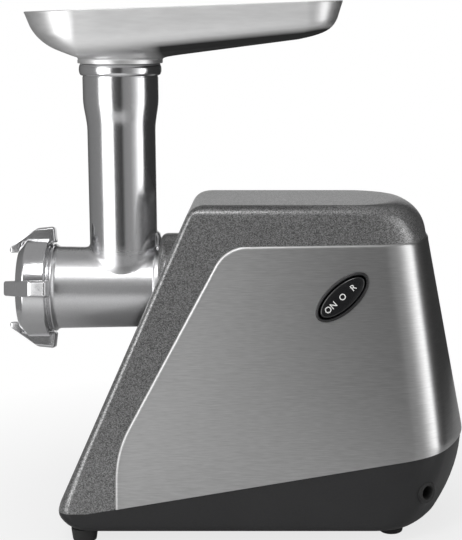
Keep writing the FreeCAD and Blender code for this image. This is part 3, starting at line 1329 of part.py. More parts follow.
def brush_springs():
    springs = []
    length = STATOR_RADIUS - BRUSH_HOLDER_WALL - BRUSH_OUTER - 2 * FACE_GAP
    for side in SIDES:
        start = V(BRUSH_X, 0, MOTOR_Z + side * (BRUSH_OUTER + FACE_GAP))
        springs.append(coil_spring(start, Z_AXIS * side, length, BRUSH_WIDTH / 2 - BRUSH_SPRING_WIRE,
                                   BRUSH_SPRING_WIRE / 2, SPRING_TURNS))
    return springs


def motor_bolts():
    bolts = []
    head_x = BRACKET_REAR_X + BRACKET_WALL
    for y, z in motor_bolt_places():
        head = rod(head_x, head_x + SCREW_HEAD, 2 * MOTOR_BOLT_RADIUS, y, z)
        bolts.append(head.fuse(rod(COVER_X, head_x + SCREW_HEAD / 2, MOTOR_BOLT_RADIUS, y, z)))
    return bolts


def motor_cradle():
    cradle = block(STATOR_X + CRADLE_MARGIN, STATOR_REAR - CRADLE_MARGIN,
                   -CRADLE_HALF_WIDTH, CRADLE_HALF_WIDTH, BASE_FLOOR, MOTOR_Z - STATOR_RADIUS / 2)
    return cradle.cut(rod(STATOR_X, STATOR_REAR, STATOR_RADIUS + RUNNING_FIT, *MOTOR_SHAFT))


def terminal_corner():
    """Low front corner of the terminal block, on the base floor beside the motor."""
    return STATOR_REAR - BLOCK_LENGTH / 2, -STATOR_RADIUS - BLOCK_WIDTH


def terminal_block():
    x, y = terminal_corner()
    body = block(x, x + BLOCK_LENGTH, y, y + BLOCK_WIDTH, BASE_FLOOR, BASE_FLOOR + BLOCK_HEIGHT)
    pitch = BLOCK_LENGTH / BLOCK_POLES
    for index in range(BLOCK_POLES):
        body = body.cut(post(x + (index + 0.5) * pitch, y + BLOCK_WIDTH / 2, BASE_FLOOR + BLOCK_HEIGHT / 2,
                             BASE_FLOOR + BLOCK_HEIGHT + OVERSHOOT, SCREW_HEAD_RADIUS))
    return body


def wire_run(points):
    """Insulated lead along straight runs joined by tangent arcs."""
    path = rounded_path([(point, WIRE_BEND) for point in points], False)
    start = points[0]
    section = Part.Wire(Part.Circle(start, points[1] - start, WIRE_RADIUS).toShape())
    return path.makePipeShell([section], True, True)


def internal_wires():
    x, y = terminal_corner()
    frame = switch_frame()
    pitch = SWITCH_BODY_LENGTH / TERMINAL_COUNT
    low = -BEZEL_DEPTH - SWITCH_BODY_DEPTH - TERMINAL_LENGTH - FACE_GAP
    top = BASE_FLOOR + BLOCK_HEIGHT + FACE_GAP
    leads = []
    for index in range(BLOCK_POLES):
        pole = V(x + (index + 0.5) * BLOCK_LENGTH / BLOCK_POLES, y + BLOCK_WIDTH / 4, top)
        blade = frame.multVec(V((index + 0.5) * pitch - SWITCH_BODY_LENGTH / 2, 0, low))
        reach = frame.multVec(V((index + 0.5) * pitch - SWITCH_BODY_LENGTH / 2, 0, low - 2 * WIRE_BEND))
        rise = V(pole.x, pole.y, MOTOR_Z + STATOR_RADIUS + (index + 1) * WIRE_BEND)
        leads.append(wire_run([pole, rise, reach, blade]))
    return leads


def save(name, shape):
    solids = shape if isinstance(shape, list) else [shape]
    whole = Part.makeCompound(solids) if len(solids) > 1 else solids[0]
    whole.exportStep(os.path.join("parts", name + ".step"))
    print(name, len(whole.Solids), "valid" if whole.isValid() else "NOT VALID", round(whole.Volume, 1))


os.makedirs("parts", exist_ok=True)
outer_body = body_solid(0)

save("housing_shell", housing_shell(outer_body, body_solid(-SHELL_WALL)))
save("steel_wrap", steel_wrap())
save("base_pan", base_pan(outer_body, body_solid(-BASE_WALL)))
save("cord_gland", cord_gland())
for number, place in enumerate(foot_places(), 1):
    save("rubber_foot_%d" % number, rubber_foot(*place))
save("foot_screws", foot_screws())
save("housing_screws", housing_screws())

save("head_socket", head_socket())
save("socket_screws", socket_screws())
save("lock_button", lock_button())
save("lock_spring", lock_spring())

save("switch_bezel", switch_bezel())
save("switch_rocker", switch_rocker())
save("switch_body", switch_body())
save("switch_terminals", switch_terminals())

save("grinder_barrel", grinder_barrel())
save("plate_key", plate_key())
save("cutting_plate", cutting_plate())
save("cutting_blade", cutting_blade())
save("auger", auger())
save("auger_washer", auger_washer())
save("auger_coupling", auger_coupling())
save("coupling_screw", coupling_screw())
save("ring_nut", ring_nut())
save("hopper_tray", hopper_tray())

save("gearbox_case", gearbox_case())
save("gearbox_cover", gearbox_cover())
save("gearbox_screws", gearbox_screws())
save("output_shaft", output_shaft())
save("output_gear", spur_gear(OUTPUT_TEETH, SECOND_MODULE, OUTPUT_X, OUTPUT_WIDTH,
                              OUTPUT_SHAFT, OUTPUT_PHASE, OUTPUT_SHAFT_RADIUS))
save("output_bearing_front", output_bearing_front())
save("output_bearing_rear", output_bearing_rear())
save("second_shaft", stage_shaft(SECOND_SHAFT, SECOND_SHAFT_RADIUS, SECOND_X, SECOND_WIDTH,
                                 OUTPUT_X, OUTPUT_WIDTH, SECOND_MODULE))
save("second_gear", spur_gear(SECOND_TEETH, FIRST_MODULE, SECOND_X, SECOND_WIDTH,
                              SECOND_SHAFT, SECOND_PHASE, SECOND_SHAFT_RADIUS))
save("second_bushes", shaft_bushes(SECOND_SHAFT, SECOND_SHAFT_RADIUS))
save("first_shaft", stage_shaft(FIRST_SHAFT, FIRST_SHAFT_RADIUS, FIRST_X, FIRST_WIDTH,
                                SECOND_X, SECOND_WIDTH, FIRST_MODULE))
save("first_gear", spur_gear(FIRST_TEETH, MOTOR_MODULE, FIRST_X, FIRST_WIDTH,
                             FIRST_SHAFT, FIRST_PHASE, FIRST_SHAFT_RADIUS))
save("first_bushes", shaft_bushes(FIRST_SHAFT, FIRST_SHAFT_RADIUS))

save("motor_shaft", motor_shaft())
save("motor_pinion", motor_pinion())
save("stator_core", stator_core())
save("field_coils", [field_coil(middle, 0) for middle in POLE_ANGLES])
save("armature_core", armature_core())
save("armature_winding", armature_winding())
save("commutator", commutator())
save("motor_fan", motor_fan())
save("motor_bearings", motor_bearings())
save("motor_bracket", motor_bracket())
save("brush_holders", brush_holders())
save("carbon_brushes", carbon_brushes())
save("brush_springs", brush_springs())
save("motor_bolts", motor_bolts())
save("motor_cradle", motor_cradle())
save("terminal_block", terminal_block())
save("internal_wires", internal_wires())
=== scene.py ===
from math import asin, cos, exp, pi, radians, sin, sqrt, tan
import bmesh
import bpy
from mathutils import Matrix, Vector


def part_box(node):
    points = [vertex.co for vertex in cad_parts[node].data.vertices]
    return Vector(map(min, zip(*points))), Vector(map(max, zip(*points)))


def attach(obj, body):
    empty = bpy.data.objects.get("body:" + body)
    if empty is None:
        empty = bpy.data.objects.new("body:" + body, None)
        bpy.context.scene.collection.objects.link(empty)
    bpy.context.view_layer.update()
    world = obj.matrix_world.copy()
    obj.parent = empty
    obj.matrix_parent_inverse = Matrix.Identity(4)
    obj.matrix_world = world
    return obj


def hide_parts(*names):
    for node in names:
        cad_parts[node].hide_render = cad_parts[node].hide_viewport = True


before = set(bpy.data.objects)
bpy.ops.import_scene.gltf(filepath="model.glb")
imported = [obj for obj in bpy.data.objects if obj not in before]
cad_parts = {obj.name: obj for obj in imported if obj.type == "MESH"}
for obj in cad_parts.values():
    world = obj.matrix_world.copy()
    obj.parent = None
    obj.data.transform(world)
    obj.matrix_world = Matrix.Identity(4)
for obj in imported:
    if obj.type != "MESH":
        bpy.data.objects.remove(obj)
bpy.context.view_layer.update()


# Base pan: the black lower tray of the machine, moulded in ABS with a fine spark-eroded grain. Its toe
# is tucked in below the seam and its rear is bellied. It is open at the top, has air slots in its floor
# and is screwed up into the housing from below.
MM = 0.001
WELD = 0.02
BASE_BOTTOM = 9.0
BASE_HALF_WIDTH = 75.0
NOSE_X = -118.5
TOE_TOP, TOE_SOFT = 24.0, 5.0
KINK_X, KINK_Z, KINK_SOFT = 158.0, 64.0, 2.5
REAR_BELLY = 165.0
REAR_ROUNDING, REAR_BOW = 30.0, 104.0
FRONT_ROUNDING, TOE_ROUNDING, ROUNDING_FALL = 4.0, 8.0, 30.0
SIDE_LEAN = radians(7.4)
FRONT_LEAN = radians(24.1)
REAR_LEAN = radians(11.0)
SEAM_LEVEL = 21.5
SEAM_BREAK_X = -99.0
SEAM_SLOPE = tan(radians(9.3))
CORNER_STEPS = 14
BOW_STEPS = 12


def eased(distance, soft):
    """Zero before a bend and the distance after it, with the bend rounded off."""
    if distance <= -soft:
        return 0.0
    if distance >= soft:
        return distance
    return (distance + soft) ** 2 / (4 * soft)


def half_width(z):
    return BASE_HALF_WIDTH - (z - BASE_BOTTOM) * tan(SIDE_LEAN)


def front_x(z):
    return NOSE_X + eased(z - TOE_TOP, TOE_SOFT) * tan(FRONT_LEAN)


def rear_x(z):
    """Rear of the body, which is bellied below the kink and leans forwards above it."""
    belly = max(0.0, KINK_Z - z) ** 2 / REAR_BELLY
    return KINK_X - belly - eased(z - KINK_Z, KINK_SOFT) * tan(REAR_LEAN)


def seam_z(x):
    """Height of the seam, level at the toe and then rising to the rear."""
    return SEAM_LEVEL + max(0.0, x - SEAM_BREAK_X) * SEAM_SLOPE


def sweep(centre, radius, start, end, steps):
    """Points along an arc in plan, both ends included."""
    angles = [start + (end - start) * step / steps for step in range(steps + 1)]
    return [(centre[0] + radius * cos(angle), centre[1] + radius * sin(angle)) for angle in angles]


def near_rear_run(z, grow, rear_in=0.0, side_in=0.0):
    """Plan points from the near side round to the middle of the bowed rear."""
    tail = rear_x(z) + grow / cos(REAR_LEAN) - rear_in
    half = half_width(z) + grow / cos(SIDE_LEAN) - side_in
    rounding, bow = REAR_ROUNDING + grow, REAR_BOW + grow
    out, reach = half - rounding, bow - rounding
    corner_x = tail - bow + sqrt(reach ** 2 - out ** 2)
    meet = asin(out / reach)
    run = sweep((corner_x, -out), rounding, -pi / 2, -meet, CORNER_STEPS)
    return run + sweep((tail - bow, 0.0), bow, -meet, 0.0, BOW_STEPS)[1:]


def body_ring(z, grow=0.0, front_in=0.0, rear_in=0.0, side_in=0.0):
    """Plan outline of the tapered body; its front corners get sharper upwards."""
    nose = front_x(z) - grow / cos(FRONT_LEAN) + front_in
    half = half_width(z) + grow / cos(SIDE_LEAN) - side_in
    front = FRONT_ROUNDING + TOE_ROUNDING * exp((BASE_BOTTOM - z) / ROUNDING_FALL) + grow
    run = near_rear_run(z, grow, rear_in, side_in)
    far_run = [(x, -y) for x, y in reversed(run[:-1])]
    far_front = sweep((nose + front, half - front), front, pi / 2, pi, CORNER_STEPS)
    near_front = sweep((nose + front, front - half), front, pi, 1.5 * pi, CORNER_STEPS)
    return [(x, y, z) for x, y in run + far_run + far_front + near_front]


def lattice(rows, close=False, foot=False, head=False):
    """Net of closed rows, which may come round to its start or have end faces."""
    count = len(rows[0])
    points = [point for row in rows for point in row]
    faces = []
    for row in range(len(rows) if close else len(rows) - 1):
        low, high = row * count, (row + 1) % len(rows) * count
        for column in range(count):
            after = (column + 1) % count
            faces.append((low + column, low + after, high + after, high + column))
    if foot:
        faces.append(tuple(range(count)))
    if head:
        faces.append(tuple(range(len(points) - count, len(points))))
    return points, faces


def put(name, data):
    """A new object in the scene."""
    made = bpy.data.objects.new(name, data)
    bpy.context.scene.collection.objects.link(made)
    return made


def make_piece(name, *nets):
    """A welded mesh object from nets in millimetres, its faces turned outwards."""
    body = bmesh.new()
    for points, faces in nets:
        corners = [body.verts.new(Vector(point) * MM) for point in points]
        for face in faces:
            body.faces.new([corners[index] for index in face])
    bmesh.ops.remove_doubles(body, verts=body.verts, dist=WELD * MM)
    bmesh.ops.recalc_face_normals(body, faces=body.faces)
    mesh = bpy.data.meshes.new(name)
    body.to_mesh(mesh)
    body.free()
    return put(name, mesh)


def settle(piece):
    """Turns the piece's modifiers into its own mesh."""
    graph = bpy.context.evaluated_depsgraph_get()
    mesh = bpy.data.meshes.new_from_object(piece.evaluated_get(graph))
    piece.modifiers.clear()
    piece.data = mesh


def carve(piece, operation, *tools):
    """Cuts or joins a piece with closed tools, which are then thrown away."""
    for tool in tools:
        step = piece.modifiers.new(tool.name, "BOOLEAN")
        step.operation = operation
        step.object = tool
        step.solver = "EXACT"
    settle(piece)
    for tool in tools:
        bpy.data.objects.remove(tool)


def wall(piece, thickness):
    """Gives a skin its wall, inwards, in millimetres."""
    sheet = piece.modifiers.new("wall", "SOLIDIFY")
    sheet.thickness = thickness * MM
    sheet.offset = -1.0
    sheet.use_even_offset = True
    settle(piece)


def dress(piece, material, body, slot, *nodes, smooth=32.0):
    """Finish, smooth shading and carrier of one piece; the frame's solids it stands in for are hidden."""
    piece.data.materials.clear()
    piece.data.materials.append(material)
    piece.data.shade_smooth()
    piece.data.set_sharp_from_angle(angle=radians(smooth))
    normals = piece.modifiers.new("even_normals", "WEIGHTED_NORMAL")
    normals.keep_sharp = True
    normals.weight = 80
    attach(piece, body)
    if nodes:
        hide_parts(*nodes)


def cut_at_seam(piece, above):
    """Keeps what is above or below the seam."""
    body = bmesh.new()
    body.from_mesh(piece.data)
    slope = Vector((-SEAM_SLOPE, 0, 1)).normalized()
    for normal in (Vector((0, 0, 1)), slope):
        everything = body.verts[:] + body.edges[:] + body.faces[:]
        bmesh.ops.bisect_plane(body, geom=everything, dist=1e-7, plane_no=normal,
                               plane_co=Vector((SEAM_BREAK_X, 0, SEAM_LEVEL)) * MM)
    lost = []
    for face in body.faces:
        middle = face.calc_center_median() / MM
        if (middle.z > seam_z(middle.x)) != above:
            lost.append(face)
    bmesh.ops.delete(body, geom=lost, context="FACES")
    body.to_mesh(piece.data)
    body.free()


def bar(name, low, high):
    """A square-cornered tool between two corners, in millimetres."""
    rows = [[(low[0], low[1], z), (high[0], low[1], z), (high[0], high[1], z), (low[0], high[1], z)]
            for z in (low[2], high[2])]
    return make_piece(name, lattice(rows, foot=True, head=True))


def about(origin, direction):
    """Placement that stands local Z on a direction at a point, in millimetres."""
    return Matrix.Translation(Vector(origin)) @ Vector(direction).to_track_quat("Z", "Y").to_matrix().to_4x4()


def rod(start, end, radius):
    """Outline of a plain round rod or hole, to be turned."""
    return [(start, 0.0), (start, radius), (end, radius), (end, 0.0)]


def full_turn(steps):
    """Even angles once round."""
    return [2 * pi * step / steps for step in range(steps)]


def turned(outline, place, steps, close=True):
    """Net turned from (height, radius) points about the Z of a placement."""
    rows = []
    for height, radius in outline:
        ring = [Vector((radius * cos(angle), radius * sin(angle), height)) for angle in full_turn(steps)]
        rows.append([place @ point for point in ring])
    return lattice(rows, close)


def feed(sockets, sources):
    """Gives sockets their constants and incoming links."""
    for socket, source in sources.items():
        if isinstance(source, bpy.types.NodeSocket):
            source.id_data.links.new(source, sockets[socket])
        else:
            sockets[socket].default_value = source


def node(tree, kind, inputs=None, **settings):
    """A shader node with its settings and inputs."""
    made = tree.nodes.new(kind)
    for key, value in settings.items():
        setattr(made, key, value)
    feed(made.inputs, inputs or {})
    return made


def place_in(tree):
    """Place on the piece, in metres."""
    return node(tree, "ShaderNodeTexCoord").outputs["Object"]


def noise(place, scale, detail):
    """Cloudy values from 0 to 1."""
    grain = {"Vector": place, "Scale": scale, "Detail": detail}
    return node(place.id_data, "ShaderNodeTexNoise", grain).outputs[0]


def calc(operation, first, second):
    """Sum, product or larger of two values."""
    return node(first.id_data, "ShaderNodeMath", {0: first, 1: second}, operation=operation).outputs[0]


def ramp(value, start, end, low=0.0, high=1.0):
    """A value taken from one range to another and held at its ends."""
    ranges = {"Value": value, "From Min": start, "From Max": end, "To Min": low, "To Max": high}
    return node(value.id_data, "ShaderNodeMapRange", ranges).outputs["Result"]


def grey(level, blue=0.0):
    """A grey, with a little more or less blue in it."""
    return level, level, level + blue


def tint(mask, dark, light):
    """Colour that runs with a mask from dark, which may be a socket, to light."""
    if not isinstance(dark, bpy.types.NodeSocket):
        dark = (*dark, 1.0)
    ends = {0: mask, 6: dark, 7: (*light, 1.0)}
    return node(mask.id_data, "ShaderNodeMix", ends, data_type="RGBA").outputs[2]


def relief(height, distance, strength=1.0):
    """Surface normal that follows a height, its depth in metres."""
    bump = {"Height": height, "Distance": distance, "Strength": strength}
    return node(height.id_data, "ShaderNodeBump", bump).outputs[0]


def effect(name, **inputs):
    """A shader node group with named sockets, which gives a shade and a height."""
    tree = bpy.data.node_groups.new(name, "ShaderNodeTree")
    for label, value in inputs.items():
        kind = "NodeSocketFloat" if isinstance(value, float) else "NodeSocketVector"
        tree.interface.new_socket(label, in_out="INPUT", socket_type=kind).default_value = value
    for label in ("Shade", "Height"):
        tree.interface.new_socket(label, in_out="OUTPUT", socket_type="NodeSocketFloat")
    return tree, tree.nodes.new("NodeGroupInput").outputs


def use(tree, group, **values):
    """Outputs of an effect placed in a material."""
    return node(tree, "ShaderNodeGroup", values, node_tree=group).outputs


def finish(name, **constants):
    """A material with the shader's constants set on its own sockets."""
    material = bpy.data.materials.new(name)
    material.use_nodes = True
    tree = material.node_tree
    shader = tree.nodes["Principled BSDF"].inputs
    feed(shader, {label.replace("_", " "): value for label, value in constants.items()})
    return material, tree, shader


def surface(name, group, values, shades, roughness, depth=None, strength=1.0, **constants):
    """A finish that follows one effect; its roughness may also be even."""
    material, tree, shader = finish(name, **constants)
    follows = use(tree, group, **values)
    if isinstance(roughness, tuple):
        roughness = ramp(follows["Shade"], 0.0, 1.0, *roughness)
    feed(shader, {"Base Color": tint(follows["Shade"], *shades), "Roughness": roughness})
    if depth:
        feed(shader, {"Normal": relief(follows["Height"], depth, strength)})
    return material


moulded_grain, given = effect("moulded_grain", Grain=900.0, Cloud=25.0)
place = place_in(moulded_grain)
pits = noise(place, given["Grain"], 3.0)
cloud = noise(place, given["Cloud"], 4.0)
pits_and_cloud = calc("ADD", pits, cloud)
shade = calc("MULTIPLY", pits_and_cloud, 0.5)
node(moulded_grain, "NodeGroupOutput", {"Shade": shade, "Height": pits})

black_moulding = surface("black_moulding", moulded_grain, {"Grain": 1100.0, "Cloud": 18.0},
                         (grey(0.01, 0.001), grey(0.03, 0.001)), (0.3, 0.44), 0.00008)

PAN_FOOT = ((0.0, 4.0), (0.6, 2.4), (2.0, 0.8), (4.0, 0.0), (6.0, 0.0), (8.0, 0.0), (10.0, 0.0), (12.5, 0.0))
PAN_LEVELS = (24.0, 26.5, 29.0, 34.0, 40.0, 46.0, 52.0, 58.0, 61.5, 64.0, 66.5, 80.0)
TOE_TUCK = 0.07
PAN_WALL = 3.0
SLOT_COUNT, SLOT_START, SLOT_PITCH = 7, 18.5, 7.0
SLOT_WIDTH, SLOT_HALF, SLOT_TOP = 3.0, 18.0, 14.0
GLAND_ANGLE = radians(50.0)
GLAND_STAND, GLAND_BORE = 5.5, 7.4
pan_rows = []
for rise, inset in PAN_FOOT:
    tuck = TOE_TUCK * (SEAM_LEVEL - BASE_BOTTOM - rise) ** 2
    pan_rows.append(body_ring(BASE_BOTTOM + rise, 0, max(inset, tuck), inset, inset))
pan_rows += [body_ring(z) for z in PAN_LEVELS]
base_pan = make_piece("base_pan_moulding", lattice(pan_rows, foot=True))
cut_at_seam(base_pan, above=False)
wall(base_pan, PAN_WALL)
slots = []
for index in range(SLOT_COUNT):
    start = SLOT_START + SLOT_PITCH * index
    slots.append(bar("air_slot", (start, -SLOT_HALF, 0.0), (start + SLOT_WIDTH, SLOT_HALF, SLOT_TOP)))
gland_way = Vector((cos(GLAND_ANGLE), -sin(GLAND_ANGLE), 0.0))
gland_low, gland_high = (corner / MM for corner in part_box("cord_gland"))
ON_GLAND = about((gland_low + gland_high) / 2 + gland_way * GLAND_STAND, gland_way)
gland_bore = make_piece("gland_bore", turned(rod(-30.0, 20.0, GLAND_BORE), ON_GLAND, 40, False))
carve(base_pan, "DIFFERENCE", *slots, gland_bore)
dress(base_pan, black_moulding, "machine", "black_plastic", "base_pan")


# Cord gland: a soft rubber bush pressed into the lower rear corner of the pan, with a rounded lip
# outside and a round hole for the mains lead.
soft_rubber = surface("soft_rubber", moulded_grain, {"Grain": 1700.0, "Cloud": 60.0},
                      (grey(0.01), grey(0.028)), (0.5, 0.74), 0.00006, Sheen_Weight=0.08)

bush_outline = [(-12.5, 4.5), (-12.5, 7.3), (0.2, 7.3), (0.9, 7.2), (1.3, 6.8), (1.5, 6.2), (1.4, 5.4), (1.0, 4.8),
                (0.3, 4.5)]
cord_gland = make_piece("cord_gland_bush", turned(bush_outline, ON_GLAND, 48))
dress(cord_gland, soft_rubber, "machine", "black_rubber", "cord_gland")


# Feet: four moulded rubber studs with a chamfered rim and a recess for the screw that holds each
# one to the floor of the pan.
foot_outline = [(9.0, 1.75), (9.0, 8.9), (8.2, 9.0), (1.6, 8.1), (0.6, 7.8), (0.0, 7.0), (0.0, 4.4), (0.3, 3.8),
                (4.5, 3.7), (4.5, 1.75)]
for number in range(1, 5):
    low, high = (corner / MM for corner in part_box("rubber_foot_%d" % number))
    stand = Matrix.Translation(((low.x + high.x) / 2, (low.y + high.y) / 2, 0.0))
    foot = make_piece("rubber_stud_%d" % number, turned(foot_outline, stand, 40))
    dress(foot, soft_rubber, "machine", "black_rubber", "rubber_foot_%d" % number)


# Housing shell: the dark upper body, moulded in ABS with fine metal flakes in the plastic. Its walls
# lean inwards, its top edges are rounded, and a round opening in front takes the grinding head.
metal_flakes, given = effect("metal_flakes", Size=900.0)
place = place_in(metal_flakes)
flake_cells = node(metal_flakes, "ShaderNodeTexVoronoi", {"Vector": place, "Scale": given["Size"]})
flake_tone = node(metal_flakes, "ShaderNodeSeparateColor", {0: flake_cells.outputs["Color"]}).outputs[0]
dust = noise(place, given["Size"], 2.0)
dusty_flakes = calc("MULTIPLY", flake_tone, dust)
node(metal_flakes, "NodeGroupOutput", {"Shade": ramp(dusty_flakes, 0.0, 0.55), "Height": dust})

flaked_moulding = surface("flaked_moulding", metal_flakes, {"Size": 2000.0},
                          (grey(0.09, 0.001), grey(0.44)), (0.32, 0.28), 0.00003, Metallic=0.6)

TOP_Z = 225.035
TOP_ROUNDS = ((14.0, FRONT_LEAN), (24.0, REAR_LEAN), (8.0, SIDE_LEAN))
TOP_STEPS = 16
SHELL_LEVELS = (15.0, 19.0, 22.0, 24.0, 26.5, 29.0, 40.0, 52.0, 58.0, 61.5, 64.0, 66.5)
SHELL_WALL = 2.8


def edge_inset(radius, lean, depth):
    """How far a rounded top edge stands back from its leaning wall."""
    if depth >= radius * (1 - sin(lean)):
        return 0.0
    inner = radius - depth
    return radius / cos(lean) - inner * tan(lean) - sqrt(radius ** 2 - inner ** 2)


shell_rows = [body_ring(z) for z in SHELL_LEVELS]
deepest = max(radius * (1 - sin(lean)) for radius, lean in TOP_ROUNDS)
for step in range(TOP_STEPS + 1):
    depth = deepest * (1 - sin(pi / 2 * step / TOP_STEPS))
    insets = [edge_inset(radius, lean, depth) for radius, lean in TOP_ROUNDS]
    shell_rows.append(body_ring(TOP_Z - depth, 0, *insets))
housing = make_piece("housing_moulding", lattice(shell_rows, head=True))
cut_at_seam(housing, above=True)
wall(housing, SHELL_WALL)

AXIS_Z = 161.735
ALONG_HEAD = about((0.0, 0.0, AXIS_Z), (1.0, 0.0, 0.0))
HOLES_START, HOLES_END = -130.0, -30.0
COLLAR_OPENING = 38.3
LOCK_Y, LOCK_Z, LOCK_HOLE = 43.332, 169.376, 5.3
ON_LOCK = about((0.0, LOCK_Y, LOCK_Z), (1, 0, 0))
SWITCH_SEAT = Vector((71.764, -55.562, 165.651))
SWITCH_TURN = radians(42.0)
SWITCH_HOLE = ((40.6, 17.6, -12.0), (40.6, 17.6, 6.0))
switch_out = Vector((0.0, -cos(SIDE_LEAN), sin(SIDE_LEAN)))
switch_up = Vector((0.0, sin(SIDE_LEAN), cos(SIDE_LEAN)))
switch_along = Vector((1, 0, 0)) * cos(SWITCH_TURN) + switch_up * sin(SWITCH_TURN)
switch_axes = Matrix((switch_along, switch_out.cross(switch_along), switch_out)).transposed().to_4x4()
ON_SWITCH = Matrix.Translation(SWITCH_SEAT) @ switch_axes


def oval_net(rows, steps=96, close=False):
    """Net of ovals on the switch, from (length, width, height) rows."""
    rings = []
    for length, width, height in rows:
        half, side = length / 2, width / 2
        ring = [Vector((half * cos(angle), side * sin(angle), height)) for angle in full_turn(steps)]
        rings.append([ON_SWITCH @ point for point in ring])
    return lattice(rings, close, not close, not close)


collar_hole = turned(rod(HOLES_START, HOLES_END, COLLAR_OPENING), ALONG_HEAD, 120, False)
lock_hole = turned(rod(HOLES_START, HOLES_END, LOCK_HOLE), ON_LOCK, 40, False)
carve(housing, "DIFFERENCE", make_piece("collar_opening", collar_hole), make_piece("lock_hole", lock_hole),
      make_piece("switch_hole", oval_net(SWITCH_HOLE)))
dress(housing, flaked_moulding, "machine", "speckled_plastic", "housing_shell")


# Steel wrap: one stainless sheet bent round both sides and the rear, brushed lengthwise. Its front and
# top edges are rolled down onto the housing, and the switch goes through it on the near side.
brush_lines, given = effect("brush_lines", Stretch=(8.0, 400.0, 400.0))
stretched = {0: place_in(brush_lines), 1: given["Stretch"]}
drawn = node(brush_lines, "ShaderNodeVectorMath", stretched, operation="MULTIPLY").outputs[0]
fine = noise(drawn, 4.0, 2.0)
node(brush_lines, "NodeGroupOutput", {"Shade": ramp(fine, 0.25, 0.75), "Height": fine})


def axes(vector):
    """The X, Y and Z of a place or direction."""
    return node(vector.id_data, "ShaderNodeSeparateXYZ", {0: vector}).outputs


brushed_steel, tree, shader = finish("brushed_steel", Metallic=1.0, Anisotropic=0.3, Anisotropic_Rotation=0.25)
lines = use(tree, brush_lines, Stretch=(30.0, 30.0, 420.0))
feed(shader, {"Base Color": tint(lines["Shade"], grey(0.52), grey(0.64)),
              "Roughness": ramp(axes(place_in(tree))["X"], -0.1, 0.14, 0.5, 0.285)})

WRAP_FRONT = -79.3
WRAP_TOP = 198.535
WRAP_TURN = seam_z(WRAP_FRONT) + 38.0
WRAP_SLANT = radians(28.4)
WRAP_GAP = 0.1
WRAP_SHEET = 0.8
WRAP_OUT = WRAP_GAP + WRAP_SHEET
TURN_ROUNDING, SHOULDER_ROUNDING = 73.0, 24.0
TOP_RISE = tan(radians(0.8))
HEM = ((0.0, -0.8), (0.3, -0.42), (0.8, -0.1), (1.5, 0.12), (2.4, 0.14), (3.6, 0.0))
EDGE_ARC_STEPS, EDGE_SPACING = 14, 11.0
PLAIN_ROWS = 9
SIDE_TOP_X, SIDE_FOOT_X, REAR_FOOT_Z = 110.0, 135.0, 62.0
FOOT_LEAD = 34.0
shoulder_x = WRAP_FRONT + (WRAP_TOP - WRAP_TURN) * tan(WRAP_SLANT)


def rounded_run(corners, arc_steps, spacing):
    """Points along straight runs with rounded bends, from ((x, z), radius) corners."""
    run = []
    last = Vector(corners[0][0])
    for index in range(1, len(corners)):
        corner, radius = Vector(corners[index][0]), corners[index][1]
        towards = (corner - Vector(corners[index - 1][0])).normalized()
        start = corner
        bend = []
        if radius:
            away = (Vector(corners[index + 1][0]) - corner).normalized()
            turn = towards.angle(away)
            start = corner - towards * radius * tan(turn / 2)
            centre = corner + (away - towards).normalized() * radius / cos(turn / 2)
            end = corner + away * radius * tan(turn / 2)
            for step in range(1, arc_steps + 1):
                share = step / arc_steps
                bend.append(centre + ((start - centre) * sin((1 - share) * turn)
                                      + (end - centre) * sin(share * turn)) / sin(turn))
        pieces = max(1, round((start - last).length / spacing))
        run += [last.lerp(start, step / pieces) for step in range(pieces)]
        run += [start] + bend[:-1] if bend else []
        last = bend[-1] if bend else start
    return run + [last]


def wrap_edge_z(x):
    return WRAP_TOP + (x - shoulder_x) * TOP_RISE


def side_end(z):
    return near_rear_run(z, WRAP_OUT)[0][0]


end_x = side_end(wrap_edge_z(SIDE_TOP_X))
edge_corners = [((WRAP_FRONT, seam_z(WRAP_FRONT) + WRAP_GAP), 0), ((WRAP_FRONT, WRAP_TURN), TURN_ROUNDING),
                ((shoulder_x, WRAP_TOP), SHOULDER_ROUNDING), ((end_x, wrap_edge_z(end_x)), 0)]
edge_run = rounded_run(edge_corners, EDGE_ARC_STEPS, EDGE_SPACING)
foot_start = WRAP_FRONT + FOOT_LEAD
foot_end = side_end(seam_z(SIDE_FOOT_X))
travelled = [0.0]
for before, after in zip(edge_run, edge_run[1:]):
    travelled.append(travelled[-1] + (after - before).length)


def wrap_column(top, foot, inward, inner, bends=()):
    """Stops down one column of the sheet, as shares of it, each with its lift off the sheet."""
    length = (foot - top).length
    slant = max(0.25, abs((foot - top).normalized().dot(inward)))
    stops = [(min(0.4, reach / slant / length), lift) for reach, lift in HEM]
    begin, plain = stops[-1][0], PLAIN_ROWS - len(bends)
    end = bends[0] if bends else 1.0
    shares = [begin + (end - begin) * step / plain for step in range(1, plain + 1)]
    shares = shares[:-1] + list(bends) + [1.0] if bends else shares
    stops += [(share, 0.0) for share in shares]
    return [(share, -WRAP_SHEET if inner else lift) for share, lift in stops]


def side_point(x, z, lift):
    return x, -half_width(z) - (WRAP_OUT + lift) / cos(SIDE_LEAN), z


